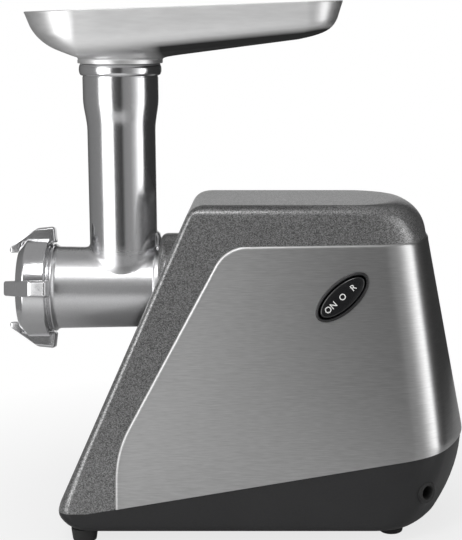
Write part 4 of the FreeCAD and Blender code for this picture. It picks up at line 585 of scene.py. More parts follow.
def wrap_net(inner):
    """Columns of the sheet from its near front edge round to the far one."""
    columns = []
    for index, top in enumerate(edge_run):
        share = travelled[index] / travelled[-1]
        foot_x = foot_start + (foot_end - foot_start) * share
        foot = Vector((foot_x, seam_z(foot_x) + WRAP_GAP))
        run = edge_run[min(index + 1, len(edge_run) - 1)] - edge_run[max(index - 1, 0)]
        inward = Vector((run.y, -run.x)).normalized()
        column = []
        for along, lift in wrap_column(top, foot, inward, inner):
            spot = top.lerp(foot, along)
            column.append(side_point(spot.x, spot.y, lift))
        columns.append(column)
    for number in range(1, CORNER_STEPS + BOW_STEPS + 1):
        top_z = wrap_edge_z(near_rear_run(WRAP_TOP, WRAP_OUT)[number][0])
        foot_z = seam_z(near_rear_run(REAR_FOOT_Z, WRAP_OUT)[number][0]) + WRAP_GAP
        top, foot = Vector((0.0, top_z)), Vector((0.0, foot_z))
        kink = [(top_z - z) / (top_z - foot_z) for z in (KINK_Z + KINK_SOFT, KINK_Z) if z > foot_z + 0.3]
        column = []
        for along, lift in wrap_column(top, foot, Vector((0.0, -1.0)), inner, kink):
            z = top_z + (foot_z - top_z) * along
            x, y = near_rear_run(z, WRAP_OUT + lift)[number]
            column.append((x, y, z))
        columns.append(column)
    return columns + [[(x, -y, z) for x, y, z in column] for column in reversed(columns[:-1])]


outside, inside = wrap_net(False), wrap_net(True)
sheet_rows = [outer + list(reversed(inner)) for outer, inner in zip(outside, inside)]
points, faces = lattice(sheet_rows)
count = len(sheet_rows[0])
for first in (0, len(points) - count):
    faces += [(first + row, first + row + 1, first + count - 2 - row, first + count - 1 - row)
              for row in range(count // 2 - 1)]
wrap = make_piece("steel_wrap_sheet", (points, faces))
carve(wrap, "DIFFERENCE", make_piece("switch_hole", oval_net(SWITCH_HOLE)))
dress(wrap, brushed_steel, "machine", "brushed_steel", "steel_wrap", smooth=50.0)


# Head socket: the round collar that the grinding head plugs into, moulded in the same flaked plastic,
# with a well rounded front edge and a short wall round it up to the sloping front of the housing. Ears
# behind the housing wall take its three screws.
SOCKET_FRONT, SOCKET_REAR = -52.388, -29.99
COLLAR_RADIUS, COLLAR_ROUNDING, COLLAR_BORE = 38.0, 5.0, 25.1
FLANGE_X, FLANGE_RADIUS = -33.5, 42.0
SEAT_X, SEAT_BORE = -34.1, 20.4
EAR_ANGLES, EAR_RADIUS = (50.0, 130.0, 200.0), 5.0
WELL_OUTER, WELL_INNER, WELL_REAR = 37.9, 35.6, -47.5
WELL_STEPS = 120
collar_rim = COLLAR_RADIUS - COLLAR_ROUNDING
collar_outline = [(SOCKET_FRONT, COLLAR_BORE), (SOCKET_FRONT, collar_rim)]
for degrees in range(10, 91, 10):
    bend = radians(degrees)
    collar_outline.append((SOCKET_FRONT + COLLAR_ROUNDING * (1 - cos(bend)),
                           collar_rim + COLLAR_ROUNDING * sin(bend)))
collar_outline += [(FLANGE_X, COLLAR_RADIUS), (FLANGE_X, FLANGE_RADIUS), (SOCKET_REAR, FLANGE_RADIUS),
                   (SOCKET_REAR, SEAT_BORE), (SEAT_X, SEAT_BORE), (SEAT_X, COLLAR_BORE)]
ears = []
for degrees in EAR_ANGLES:
    angle = radians(degrees)
    ear = (0.0, FLANGE_RADIUS * cos(angle), AXIS_Z + FLANGE_RADIUS * sin(angle))
    ears.append(turned(rod(-33.4, -30.1, EAR_RADIUS), about(ear, (1, 0, 0)), 32, False))
well_rows = []
for radius, at_front in ((WELL_OUTER, True), (WELL_OUTER, False), (WELL_INNER, False), (WELL_INNER, True)):
    ring = []
    for angle in full_turn(WELL_STEPS):
        z = AXIS_Z + radius * sin(angle)
        x = min(front_x(z) + 0.3, WELL_REAR - 0.5) if at_front else WELL_REAR
        ring.append((x, radius * cos(angle), z))
    well_rows.append(ring)
collar = make_piece("head_socket_collar", turned(collar_outline, ALONG_HEAD, 120),
                    lattice(well_rows, close=True), *ears)
dress(collar, flaked_moulding, "machine", "speckled_plastic", "head_socket")


# Head lock: a black push button beside the collar, on an arm whose pin drops into the flange of the
# head, with a coil spring behind it. Both are small moulded and wound pieces.
drawn_wire = surface("drawn_wire", brush_lines, {"Stretch": (300.0, 300.0, 40.0)},
                     (grey(0.34, 0.02), grey(0.6, 0.02)), (0.22, 0.42), Metallic=1.0)


def carry(material, *names):
    """Gives solids of the frame their finish."""
    for name in names:
        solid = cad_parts[name]
        solid.data.materials.clear()
        solid.data.materials.append(material)


PIN_TIP, PIN_RADIUS = -54.388, 1.8
ON_PIN = about((0.0, 27.575, 166.597), (1, 0, 0))
LOCK_TURN = radians(10.0)
ARM_INNER, ARM_OUTER, ARM_HALF, ARM_SHEET = 28.0, 44.0, 2.5, 3.0
button_low, button_high = (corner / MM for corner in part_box("lock_button"))
cap_front = button_low.x
cap = [(cap_front, 0.0), (cap_front, 3.4), (cap_front + 0.25, 4.2), (cap_front + 0.8, 4.75), (cap_front + 1.6, 5.0),
       (button_high.x, 5.0), (button_high.x, 0.0)]
pin = [(PIN_TIP, 0.0), (PIN_TIP, 1.5), (-54.0, PIN_RADIUS), (button_high.x, PIN_RADIUS), (button_high.x, 0.0)]
arm_along = Vector((0.0, cos(LOCK_TURN), sin(LOCK_TURN)))
arm_across = Vector((0.0, -sin(LOCK_TURN), cos(LOCK_TURN)))
arm_corners = ((ARM_INNER, -ARM_HALF), (ARM_OUTER, -ARM_HALF), (ARM_OUTER, ARM_HALF), (ARM_INNER, ARM_HALF))
arm_rows = []
for x in (button_high.x - ARM_SHEET, button_high.x):
    middle = Vector((x, 0.0, AXIS_Z))
    arm_rows.append([middle + arm_along * reach + arm_across * side for reach, side in arm_corners])
lock_button = make_piece("lock_push_button", turned(cap, ON_LOCK, 48, False), turned(pin, ON_PIN, 24, False),
                         lattice(arm_rows, foot=True, head=True))
dress(lock_button, black_moulding, "lock", "black_plastic", "lock_button")
carry(drawn_wire, "lock_spring")


# Switch: an oval black bezel snapped into the wrap, with a glossy rocker in it. The rocker carries
# printed white letters for its three positions.
SWITCH_LENGTH, SWITCH_WIDTH = 44.0, 21.0
BEZEL_STEPS = ((0.0, 0.0), (0.05, 0.7), (0.3, 1.5), (0.8, 2.05), (1.3, 2.2), (1.75, 2.1), (2.05, 1.7), (2.2, 1.0),
               (2.2, -9.5), (1.75, -9.5), (1.75, 0.0))
bezel_rows = [(SWITCH_LENGTH - 2 * inset, SWITCH_WIDTH - 2 * inset, height) for inset, height in BEZEL_STEPS]
bezel = make_piece("switch_bezel_ring", oval_net(bezel_rows, 120, True))
dress(bezel, black_moulding, "machine", "black_plastic", "switch_bezel")

gloss_moulding = surface("gloss_moulding", moulded_grain, {"Grain": 500.0, "Cloud": 70.0},
                         (grey(0.008, 0.001), grey(0.018, 0.001)), (0.08, 0.24), Coat_Weight=0.4,
                         Coat_Roughness=0.05)
rocker_rows = [(31.0, 12.0, -6.0), (37.4, 15.4, -4.0), (37.2, 15.2, 1.4), (36.8, 15.0, 1.9), (36.0, 14.4, 2.3),
               (34.4, 13.2, 2.5), (24.0, 9.0, 2.58), (10.0, 3.8, 2.6)]
rocker = make_piece("switch_rocker_key", oval_net(rocker_rows, 96))
dress(rocker, gloss_moulding, "rocker", "gloss_black", "switch_rocker", smooth=50.0)

white_print = surface("white_print", moulded_grain, {"Grain": 2200.0, "Cloud": 300.0},
                      (grey(0.72, -0.01), grey(0.92, -0.01)), 0.45)
LETTER_SIZE, LETTER_RISE = 5.8, 2.62
for word, along in (("ON", -10.2), ("O", 0.3), ("R", 9.6)):
    letters = bpy.data.curves.new("letters_" + word, "FONT")
    letters.body = word
    letters.size = LETTER_SIZE * MM
    letters.align_x = letters.align_y = "CENTER"
    letters.extrude = 0.06 * MM
    letters.offset = 0.05 * MM
    lettering = put("rocker_letters_" + word, letters)
    settled = bpy.data.meshes.new_from_object(lettering.evaluated_get(bpy.context.evaluated_depsgraph_get()))
    bpy.data.objects.remove(lettering)
    on_key = Matrix.Translation(SWITCH_SEAT * MM) @ switch_axes
    settled.transform(on_key @ Matrix.Translation((along * MM, 0.0, LETTER_RISE * MM)))
    lettering = put("rocker_letters_" + word, settled)
    dress(lettering, white_print, "rocker", "gloss_black")


# Switch works: a moulded block behind the bezel with stamped brass tabs, hidden in the housing.
# The leads from the terminal block in the base are pushed onto the tabs.
stamped_brass = surface("stamped_brass", brush_lines, {"Stretch": (200.0, 200.0, 200.0)},
                        ((0.56, 0.4, 0.16), (0.8, 0.62, 0.3)), (0.24, 0.44), Metallic=1.0)
soft_insulation = surface("soft_insulation", moulded_grain, {"Grain": 700.0, "Cloud": 90.0},
                          ((0.26, 0.13, 0.04), (0.42, 0.26, 0.12)), (0.3, 0.5))
carry(black_moulding, "switch_body", "terminal_block")
carry(stamped_brass, "switch_terminals")
carry(soft_insulation, "internal_wires")


# Grinder barrel: one aluminium casting, a barrel along the drive with an upright feed tube, the tube
# polished and the barrel left duller. The tube flares to a beaded mouth, a thread in front takes the
# nut and a flange seats in the collar.
cast_skin, given = effect("cast_skin", Ripple=60.0, Pores=1200.0)
place = place_in(cast_skin)
ripple = noise(place, given["Ripple"], 2.0)
pores = noise(place, given["Pores"], 3.0)
shallow_pores = calc("MULTIPLY", pores, 0.12)
node(cast_skin, "NodeGroupOutput", {"Shade": pores, "Height": calc("ADD", ripple, shallow_pores)})

polished_casting, tree, shader = finish("polished_casting", Metallic=1.0)
cast = use(tree, cast_skin, Ripple=60.0, Pores=1500.0)
spot = axes(place_in(tree))
below_tube = ramp(spot["Z"], 0.196, 0.186)
behind_nut = ramp(spot["X"], -0.131, -0.126)
duller = calc("MULTIPLY", calc("MULTIPLY", below_tube, behind_nut), 0.16)
buffed = ramp(cast["Shade"], 0.0, 1.0, 0.08, 0.26)
feed(shader, {"Base Color": tint(cast["Shade"], grey(0.6, 0.01), grey(0.8, 0.01)),
              "Roughness": calc("ADD", buffed, duller),
              "Normal": relief(cast["Height"], 0.0002, 0.35)})

BARREL_FRONT, BARREL_REAR = -145.388, -34.388
BARREL_RADIUS, BARREL_TAPER = 28.6, 1.2
THREAD_END = BARREL_FRONT + 22.0
THREAD_PITCH, THREAD_TURNS = 3.0, 7
FLANGE_FRONT = SOCKET_FRONT - 3.0
TUBE_X = -78.188
TUBE_TOP = 317.035
TUBE_RADIUS, TUBE_FILLET = 23.3, 4.0
MOUTH_RADIUS, NECK_RADIUS = 25.8, 25.5
BEAD_HEIGHT, BEAD_SWELL = 8.2, 2.6
FLARE_TOP, FLARE_DROP = AXIS_Z + 115.3 + 16.5, 22.0
TUBE_STEPS = 128
ON_TUBE = Matrix.Translation((TUBE_X, 0.0, 0.0))
barrel_outline = [(BARREL_FRONT, 0.0), (BARREL_FRONT, 28.9), (BARREL_FRONT + 0.4, 29.3)]
for turn_of_thread in range(THREAD_TURNS):
    x = BARREL_FRONT + THREAD_PITCH * turn_of_thread
    barrel_outline += [(x + 0.9, 30.3), (x + 1.1, 30.5), (x + 1.9, 30.5), (x + 2.1, 30.3), (x + 3.0, 29.3)]
barrel_outline += [(THREAD_END, 28.9), (THREAD_END + 0.8, BARREL_RADIUS), (FLANGE_FRONT - 1.2, 27.4),
                   (FLANGE_FRONT - 0.4, 27.7), (FLANGE_FRONT, 28.6), (FLANGE_FRONT, 30.4),
                   (FLANGE_FRONT + 0.2, 30.8), (FLANGE_FRONT + 0.6, 31.0), (SOCKET_FRONT - 0.3, 31.0),
                   (SOCKET_FRONT, 30.7), (SOCKET_FRONT, 25.0), (BARREL_REAR, 25.0), (BARREL_REAR, 0.0)]
barrel = make_piece("grinder_barrel_casting", turned(barrel_outline, ALONG_HEAD, 128, False))


def soften(piece, width, segments, angle=30.0):
    """Rounds the hard edges of a piece by a width in millimetres."""
    bevel = piece.modifiers.new("soft_edges", "BEVEL")
    bevel.width = width * MM
    bevel.segments = segments
    bevel.limit_method = "ANGLE"
    bevel.angle_limit = radians(angle)
    settle(piece)


def tube_ring(radius, z):
    """One ring of the tube; its height is a number or depends on the angle round it."""
    return [(TUBE_X + radius * cos(angle), radius * sin(angle), z(angle) if callable(z) else z)
            for angle in full_turn(TUBE_STEPS)]


def barrel_top(reach, angle):
    """Height of the barrel's skin at a place round the tube."""
    x = TUBE_X + reach * cos(angle)
    radius = BARREL_RADIUS - BARREL_TAPER * (x - THREAD_END) / (FLANGE_FRONT - THREAD_END)
    return AXIS_Z + sqrt(max(4.0, radius ** 2 - (reach * sin(angle)) ** 2))


def fillet_ring(share):
    """Ring of the tube's soft foot, from its wall at 0 to the barrel's skin at 1."""
    def height(angle):
        meet = barrel_top(TUBE_RADIUS, angle)
        end = barrel_top(TUBE_RADIUS + TUBE_FILLET, angle)
        return (1 - share) ** 2 * (meet + TUBE_FILLET) + 2 * share * (1 - share) * meet + share ** 2 * end
    return tube_ring(TUBE_RADIUS + TUBE_FILLET * share ** 2, height)


bead_low = TUBE_TOP - BEAD_HEIGHT
tube_rows = [tube_ring(0.0, TUBE_TOP)]
for step in range(13):
    swell = pi * step / 12
    tube_rows.append(tube_ring(NECK_RADIUS + BEAD_SWELL * sin(swell) ** 0.6,
                               bead_low + BEAD_HEIGHT / 2 * (1 + cos(swell))))
tube_rows += [tube_ring(NECK_RADIUS, bead_low - 0.4), tube_ring(MOUTH_RADIUS, bead_low - 1.2),
              tube_ring(MOUTH_RADIUS, FLARE_TOP)]
for step in range(9):
    share = step / 8
    eased_share = share * share * (3 - 2 * share)
    tube_rows.append(tube_ring(MOUTH_RADIUS - (MOUTH_RADIUS - TUBE_RADIUS) * eased_share,
                               FLARE_TOP - FLARE_DROP * share))
tube_rows += [tube_ring(TUBE_RADIUS, AXIS_Z + 60.0), tube_ring(TUBE_RADIUS, AXIS_Z + 40.0)]
tube_rows += [fillet_ring(step / 6) for step in range(7)]
tube_rows += [tube_ring(TUBE_RADIUS + TUBE_FILLET - 1.2,
                        lambda angle: barrel_top(TUBE_RADIUS + TUBE_FILLET, angle) - 2.2),
              tube_ring(12.0, AXIS_Z + 12.0), tube_ring(0.0, AXIS_Z + 12.0)]
tube = make_piece("feed_tube", lattice(tube_rows))
RIB_OUTLINE = ((18.0, 22.0), (18.0, 41.0), (24.0, 40.0), (25.6, 37.5), (26.0, 34.0), (25.8, 26.0), (25.8, 22.0))
RIB_HALF = 5.0
rib_rows = [[(TUBE_X + reach, y, AXIS_Z + height) for reach, height in RIB_OUTLINE] for y in (-RIB_HALF, RIB_HALF)]
rib = make_piece("tube_rib", lattice(rib_rows, foot=True, head=True))
soften(rib, 2.4, 4)
carve(barrel, "UNION", tube, rib)
PLATE_BORE, AUGER_BORE, SHAFT_BORE = 27.1, 23.5, 7.05
PLATE_SEAT, AUGER_END = -140.188, -57.988
TUBE_BORE, SPIGOT_BORE, SPIGOT_DEPTH = 19.6, 22.4, 21.0
along_bore = [(-150.0, 0.0), (-150.0, PLATE_BORE), (PLATE_SEAT, PLATE_BORE), (PLATE_SEAT, AUGER_BORE),
              (AUGER_END, AUGER_BORE), (AUGER_END, SHAFT_BORE), (-30.0, SHAFT_BORE), (-30.0, 0.0)]
down_bore = [(AXIS_Z + 2.0, 0.0), (AXIS_Z + 2.0, TUBE_BORE), (TUBE_TOP - SPIGOT_DEPTH, TUBE_BORE),
             (TUBE_TOP - SPIGOT_DEPTH, SPIGOT_BORE), (TUBE_TOP + 5.0, SPIGOT_BORE), (TUBE_TOP + 5.0, 0.0)]
for name, bore, way in (("barrel_bore", along_bore, ALONG_HEAD), ("tube_bore", down_bore, ON_TUBE)):
    carve(barrel, "DIFFERENCE", make_piece(name, turned(bore, way, 128, False)))
dress(barrel, polished_casting, "machine", "cast_aluminium", "grinder_barrel", smooth=38.0)


# Auger, blade and plate: the cast screw that feeds the meat, the four-armed knife on its square and
# the ground plate full of holes in front, held from turning by a pin. A washer and a nylon coupling
# with its screw stand behind the auger.
ground_steel = surface("ground_steel", brush_lines, {"Stretch": (60.0, 260.0, 260.0)},
                       (grey(0.52, 0.01), grey(0.72, 0.01)), (0.18, 0.36), 0.00003, 0.4, Metallic=1.0)
natural_nylon = surface("natural_nylon", moulded_grain, {"Grain": 800.0, "Cloud": 60.0},
                        ((0.68, 0.66, 0.6), (0.8, 0.79, 0.76)), (0.36, 0.56), Subsurface_Weight=0.1)
plated_steel = surface("plated_steel", cast_skin, {"Ripple": 200.0, "Pores": 1500.0},
                       (grey(0.44, -0.02), grey(0.64, -0.01)), (0.22, 0.42), Metallic=1.0)
carry(polished_casting, "auger")
carry(ground_steel, "cutting_plate", "cutting_blade", "plate_key", "auger_washer")
carry(natural_nylon, "auger_coupling")
carry(plated_steel, "coupling_screw", "foot_screws", "housing_screws", "socket_screws")


# Ring nut: a bright aluminium casting screwed onto the front of the barrel. Four strong lugs stand out
# of it as grips, each running forwards to a blunt tip.
NUT_FRONT, NUT_REAR, PLATE_FRONT = -149.788, -129.288, -146.788
LUG_TURN = radians(-9.0)
LUG_TIP, LUG_REAR = NUT_FRONT - 8.0, NUT_REAR + 3.8
LUG_SOFT = 2.0
nut_outline = [(NUT_FRONT, 24.7), (NUT_FRONT, 28.6), (NUT_FRONT + 0.4, 29.4), (NUT_FRONT + 4.8, 33.8),
               (NUT_FRONT + 5.6, 34.3), (NUT_FRONT + 6.4, 34.4), (NUT_REAR - 1.2, 34.4), (NUT_REAR - 0.35, 34.0),
               (NUT_REAR, 33.1), (NUT_REAR, 30.9), (NUT_REAR - 0.3, 30.6), (PLATE_FRONT, 30.6), (PLATE_FRONT, 24.0),
               (NUT_FRONT + 0.7, 24.0)]
nut = make_piece("ring_nut_casting", turned(nut_outline, ALONG_HEAD, 128))
lug_outline = [(LUG_REAR, 31.2, 6.2), (LUG_REAR - 1.2, 42.4, 5.6), (NUT_REAR - 9.0, 41.3, 5.4), (LUG_TIP, 27.5, 4.8),
               (LUG_TIP, 24.2, 4.8), (NUT_FRONT + 1.0, 24.2, 5.4), (NUT_FRONT + 1.0, 31.2, 5.8)]
lugs = []
for number in range(4):
    spin = Matrix.Translation((0, 0, AXIS_Z)) @ Matrix.Rotation(LUG_TURN + pi / 2 * number, 4, "X")
    sides = [[spin @ Vector((x, side * half, radius)) for x, radius, half in lug_outline] for side in (-1, 1)]
    points, faces = lattice(sides)
    for base in (0, len(lug_outline)):
        faces += [(base, base + 1, base + 2, base + 6), (base + 6, base + 2, base + 3),
                  (base + 6, base + 3, base + 5), (base + 5, base + 3, base + 4)]
    lug = make_piece("nut_lug_%d" % number, (points, faces))
    soften(lug, LUG_SOFT, 5, 22.0)
    lugs.append(lug)
carve(nut, "UNION", *lugs)
dress(nut, polished_casting, "nut", "cast_aluminium", "ring_nut", smooth=30.0)


# Hopper tray: a deep oblong dish drawn from stainless sheet with a satin polish, its rim rolled over. Its
# underside behind the neck carries painted shade: a dark, rough, non-metal colour put where shade falls.
# The floor falls to a short neck that stands on the tube, with a spigot inside the tube's mouth.
satin_steel, tree, shader = finish("satin_steel")
lines = use(tree, brush_lines, Stretch=(20.0, 20.0, 120.0))
# Painted shade: faces turned downwards behind the neck are made dark, rough and non-metal.
downwards = ramp(axes(node(tree, "ShaderNodeNewGeometry").outputs["Normal"])["Z"], -0.55, -0.8)
behind_neck = ramp(axes(place_in(tree))["X"], -0.062, -0.046)
painted_underside_shade = calc("MULTIPLY", downwards, behind_neck)
polished = tint(lines["Shade"], grey(0.85), grey(0.91))
satin = ramp(lines["Shade"], 0.0, 1.0, 0.38, 0.44)
feed(shader, {"Base Color": tint(painted_underside_shade, polished, grey(0.02)),
              "Metallic": ramp(painted_underside_shade, 0.0, 1.0, 1.0, 0.0),
              "Roughness": calc("MAXIMUM", satin, painted_underside_shade)})

TRAY_RUNS = (10, 16, 6, 16, 10, 20, 4, 20)
TRAY_FRONT, TRAY_REAR, TRAY_HALF = TUBE_X - 59.0, TUBE_X + 149.5, 67.0
FRONT_CORNER, REAR_CORNER = 38.0, 24.0
RIM_RISE, RIM_SLOPE = 36.4, 2.0
FLOOR_SLOPE, NOSE_SLOPE = 5.2, 23.8
STEM_RADIUS = 28.9
TRAY_SHEET = 1.2
RIM_ROLL = ((0.0, 36.0), (0.25, 36.35), (0.8, 36.4), (1.3, 36.1), (1.5, 35.4))
SPIGOT = ((-20.0, 20.4), (-20.0, 21.6), (-19.4, 22.2), (0.1, 22.2), (0.1, 28.7), (0.4, 28.9), (2.0, 28.9),
          (3.4, 27.4), (3.6, 24.0), (3.4, 22.0), (2.2, 20.8), (0.6, 20.4))


def straight(first, last, steps):
    """Points between two others in plan, both ends left out."""
    return [(first[0] + (last[0] - first[0]) * step / steps, first[1] + (last[1] - first[1]) * step / steps)
            for step in range(1, steps)]


def tray_ring(inset, rise, slope, nose=0.0):
    """Rounded oblong of the tray, sloping to the rear and up to its nose."""
    x0, x1, half = TRAY_FRONT + inset, TRAY_REAR - inset, TRAY_HALF - inset
    front, rear = FRONT_CORNER - inset, REAR_CORNER - inset
    corners = ((x1 - rear, rear - half, rear, -90), (x1 - rear, half - rear, rear, 0),
               (x0 + front, half - front, front, 90), (x0 + front, front - half, front, 180))
    plan = []
    for index, (x, y, radius, start) in enumerate(corners):
        arc = sweep((x, y), radius, radians(start), radians(start + 90), TRAY_RUNS[2 * index + 1])
        if plan:
            plan += straight(plan[-1], arc[0], TRAY_RUNS[2 * index])
        plan += arc
    plan += straight(plan[-1], plan[0], TRAY_RUNS[0])
    tilt, lift = tan(radians(slope)), tan(radians(nose))
    return [Vector((x, y, TUBE_TOP + rise + (x - TUBE_X) * tilt + max(0.0, x0 + front - x) * lift))
            for x, y in plan]


def stem_ring(rise, outline):
    """Ring of the neck with one point facing each point of the outline."""
    ring = []
    for point in outline:
        away = Vector((point.x - TUBE_X, point.y)).normalized()
        ring.append(Vector((TUBE_X + STEM_RADIUS * away.x, STEM_RADIUS * away.y, TUBE_TOP + rise)))
    return ring


def between(first, second, share):
    return [a.lerp(b, share) for a, b in zip(first, second)]


def curve_rows(first, control, second, last, steps):
    """Rows of a smooth bend between two rings, pulled by two others."""
    rows = []
    for step in range(steps + 1):
        t = step / steps
        s = 1 - t
        rows.append([a * s ** 3 + b * (3 * s * s * t) + c * (3 * s * t * t) + d * t ** 3
                     for a, b, c, d in zip(first, control, second, last)])
    return rows


rim = tray_ring(0.0, RIM_RISE, RIM_SLOPE)
wall_foot = tray_ring(5.5, 11.0, FLOOR_SLOPE, NOSE_SLOPE)
floor_edge = tray_ring(13.0, 6.4, FLOOR_SLOPE, NOSE_SLOPE)
stem_top = stem_ring(4.0, floor_edge)
tray_rows = [stem_ring(0.2, floor_edge), stem_ring(1.2, floor_edge)]
tray_rows += curve_rows(stem_ring(1.8, floor_edge), stem_ring(3.6, floor_edge), stem_top,
                        between(stem_top, floor_edge, 0.14), 5)
tray_rows += [between(stem_top, floor_edge, share) for share in (0.3, 0.5, 0.68, 0.8)]
tray_rows += curve_rows(between(stem_top, floor_edge, 0.86), between(floor_edge, wall_foot, 0.3),
                        between(floor_edge, wall_foot, 0.85), between(wall_foot, rim, 0.35), 10)
tray_rows += [between(wall_foot, rim, share) for share in (0.6, 0.85, 0.96)]
tray_rows += [tray_ring(inset, rise, RIM_SLOPE) for inset, rise in RIM_ROLL]
tray = make_piece("hopper_tray_dish", lattice(tray_rows))
wall(tray, TRAY_SHEET)
spigot_outline = [(TUBE_TOP + rise, radius) for rise, radius in SPIGOT]
spigot = make_piece("hopper_tray_spigot", turned(spigot_outline, ON_TUBE, 96))
dress(tray, satin_steel, "tray", "satin_steel", "hopper_tray", smooth=40.0)
dress(spigot, satin_steel, "tray", "satin_steel", smooth=40.0)


# Gear train: sintered steel gears and shafts in an aluminium case with a screwed cover, running in
# bronze bushes and bearings behind the collar.
greased_steel = surface("greased_steel", cast_skin, {"Ripple": 120.0, "Pores": 1300.0},
                        (grey(0.3), grey(0.5)), (0.22, 0.46), Metallic=1.0)
oiled_bronze = surface("oiled_bronze", cast_skin, {"Ripple": 180.0, "Pores": 1800.0},
                       ((0.46, 0.27, 0.12), (0.7, 0.47, 0.25)), (0.3, 0.52), Metallic=1.0)
raw_casting = surface("raw_casting", cast_skin, {"Ripple": 90.0, "Pores": 900.0},
                      (grey(0.48, 0.01), grey(0.66, 0.01)), (0.36, 0.58), 0.0003, 0.5, Metallic=1.0)
carry(raw_casting, "gearbox_case", "gearbox_cover", "motor_bracket")
carry(greased_steel, "output_shaft", "output_gear", "second_shaft", "second_gear", "first_shaft", "first_gear",
      "motor_shaft", "motor_pinion")
carry(oiled_bronze, "output_bearing_front", "output_bearing_rear", "second_bushes", "first_bushes", "motor_bearings")
carry(plated_steel, "gearbox_screws", "motor_bolts")


# Motor: a universal motor with stacked steel sheets, varnished copper windings, a fan on its shaft and
# sprung carbon brushes, standing on a moulded cradle in the base.
sheet_stack = surface("sheet_stack", brush_lines, {"Stretch": (1500.0, 6.0, 6.0)},
                      (grey(0.1), grey(0.3, 0.01)), (0.4, 0.6), Metallic=0.7)
varnished_copper = surface("varnished_copper", brush_lines,
                           {"Stretch": (20.0, 700.0, 700.0)}, ((0.5, 0.2, 0.08), (0.8, 0.42, 0.22)),
                           0.3, 0.0003, Metallic=0.9, Coat_Weight=0.3)
pressed_carbon = surface("pressed_carbon", moulded_grain, {"Grain": 1600.0, "Cloud": 120.0},
                         (grey(0.02, 0.002), grey(0.06, 0.005)), 0.6)
carry(sheet_stack, "stator_core", "armature_core")
carry(varnished_copper, "field_coils", "armature_winding", "commutator")
carry(stamped_brass, "brush_holders")
carry(pressed_carbon, "carbon_brushes")
carry(drawn_wire, "brush_springs")
carry(black_moulding, "motor_fan", "motor_cradle")


# Studio: a plain white table in a room whose bright and dark walls show in the metal, with one soft lamp
# over the camera. The white behind the machine is the backdrop that the camera and the metal see. The
# camera stands to the right of the picture's middle, with its lens shifted back.
scene = bpy.context.scene
scene.view_settings.view_transform = "Standard"

WHITE = (1, 1, 1, 1)
table_top, tree, shader = finish("table_top", Base_Color=(*grey(0.66), 1.0), Roughness=0.9)
place = place_in(tree)
across = axes(place)
middle = node(tree, "ShaderNodeVectorMath", {0: place, 1: (0.02, 0.0, 0.0)}, operation="DISTANCE")
near_white = ramp(middle.outputs["Value"], 0.12, 0.4, 0.78, 1.0)
far_left = ramp(across["X"], 0.06, 0.2, 0.6, 0.0)
far_white = ramp(across["Y"], -0.12, -0.35, 0.0, far_left)


def mirrored(rays):
    """One where a ray comes by way of metal or glass."""
    return calc("MAXIMUM", rays["Is Glossy Ray"], rays["Is Transmission Ray"])


rays = node(tree, "ShaderNodeLightPath").outputs
direct = calc("MULTIPLY", rays["Is Camera Ray"], near_white)
seen = calc("MAXIMUM", direct, calc("MULTIPLY", mirrored(rays), far_white))
glow = node(tree, "ShaderNodeEmission", {"Color": WHITE, "Strength": 1.0}).outputs[0]
blend = node(tree, "ShaderNodeMixShader", {0: seen, 1: tree.nodes["Principled BSDF"].outputs[0], 2: glow})
feed(tree.nodes["Material Output"].inputs, {"Surface": blend.outputs[0]})
TABLE_CORNERS = ((300, -570, -90), (300, 300, 0), (-300, 300, 90), (-300, -570, 180))
TABLE_ROUNDING = 150.0
table_points = []
for corner_x, corner_y, start in TABLE_CORNERS:
    arc = sweep((corner_x, corner_y), TABLE_ROUNDING, radians(start), radians(start + 90), 12)
    table_points += [(x, y, 0.0) for x, y in arc]
table = make_piece("table", (table_points, [tuple(range(len(table_points)))]))
table.data.materials.append(table_top)

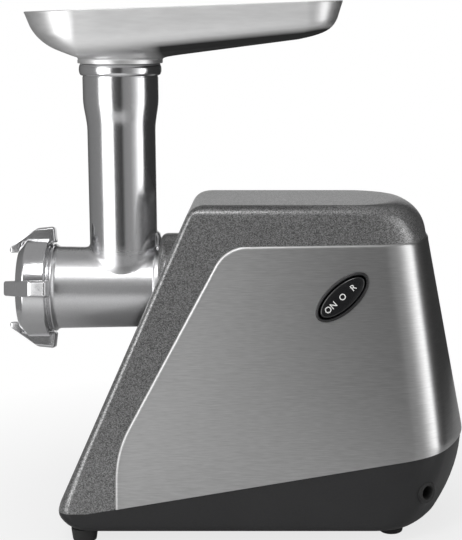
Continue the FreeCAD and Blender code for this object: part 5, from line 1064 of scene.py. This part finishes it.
WALL_LEVELS = ((-180, 0.02), (-150, 0.05), (-120, 0.09), (-66, 0.11), (-58, 1.1), (-26, 1.1), (-20, 0.06), (2, 0.02),
               (8, 0.02), (13, 0.11), (36, 0.13), (50, 0.26), (64, 0.62), (78, 0.95), (84, 0.015), (170, 0.015),
               (180, 0.03))
WALL_LIGHT = 2.6
CEILING = grey(0.14)
world = bpy.data.worlds.new("studio")
scene.world = world
world.use_nodes = True
tree = world.node_tree
tree.nodes.clear()
gaze = node(tree, "ShaderNodeTexCoord").outputs["Generated"]
quarter_turned = node(tree, "ShaderNodeVectorRotate", {"Vector": gaze, "Angle": pi / 2}, rotation_type="Z_AXIS")
compass = node(tree, "ShaderNodeTexGradient", {"Vector": quarter_turned.outputs[0]}, gradient_type="RADIAL")
walls = node(tree, "ShaderNodeValToRGB", {"Fac": compass.outputs[1]})
stops = walls.color_ramp.elements
stops.remove(stops[1])
for heading, level in WALL_LEVELS:
    stop = stops.new(0.5 + heading / 360.0)
    stop.color = (level, level, level, 1.0)
stops.remove(stops[0])
towards = axes(gaze)
ceiling = ramp(towards["Z"], 0.5, 0.7)
room = tint(ceiling, walls.outputs[0], CEILING)
room_light = node(tree, "ShaderNodeBackground", {"Color": room, "Strength": WALL_LIGHT}).outputs[0]
white = node(tree, "ShaderNodeBackground", {"Color": WHITE, "Strength": 1.0}).outputs[0]
rays = node(tree, "ShaderNodeLightPath").outputs
on_board = calc("MULTIPLY", mirrored(rays), ramp(towards["Y"], 0.965, 0.98))
whitened = calc("MAXIMUM", rays["Is Camera Ray"], on_board)
shown = node(tree, "ShaderNodeMixShader", {0: whitened, 1: room_light, 2: white}).outputs[0]
node(tree, "ShaderNodeOutputWorld", {"Surface": shown})

LAMP_SPOT, LAMP_AIM = Vector((-0.22, -0.68, 1.05)), Vector((-0.02, 0.0, 0.15))
light = bpy.data.lights.new("over_camera", "AREA")
light.shape = "RECTANGLE"
light.size, light.size_y = 0.26, 0.42
light.energy = 2.4
lamp = put("over_camera", light)
lamp.location = LAMP_SPOT
lamp.rotation_euler = (LAMP_AIM - LAMP_SPOT).to_track_quat("-Z", "Y").to_euler()

CAMERA_DIP = 10.3
camera = bpy.data.cameras.new("camera")
camera.sensor_fit = "VERTICAL"
camera.sensor_width = camera.sensor_height = 36.0
camera.lens = 95.2
camera.shift_x = -0.0976
viewpoint = put("camera", camera)
viewpoint.location = (0.033, -0.981, 0.35218)
viewpoint.rotation_euler = (radians(90.0 - CAMERA_DIP), 0.0, 0.0)
scene.camera = viewpoint
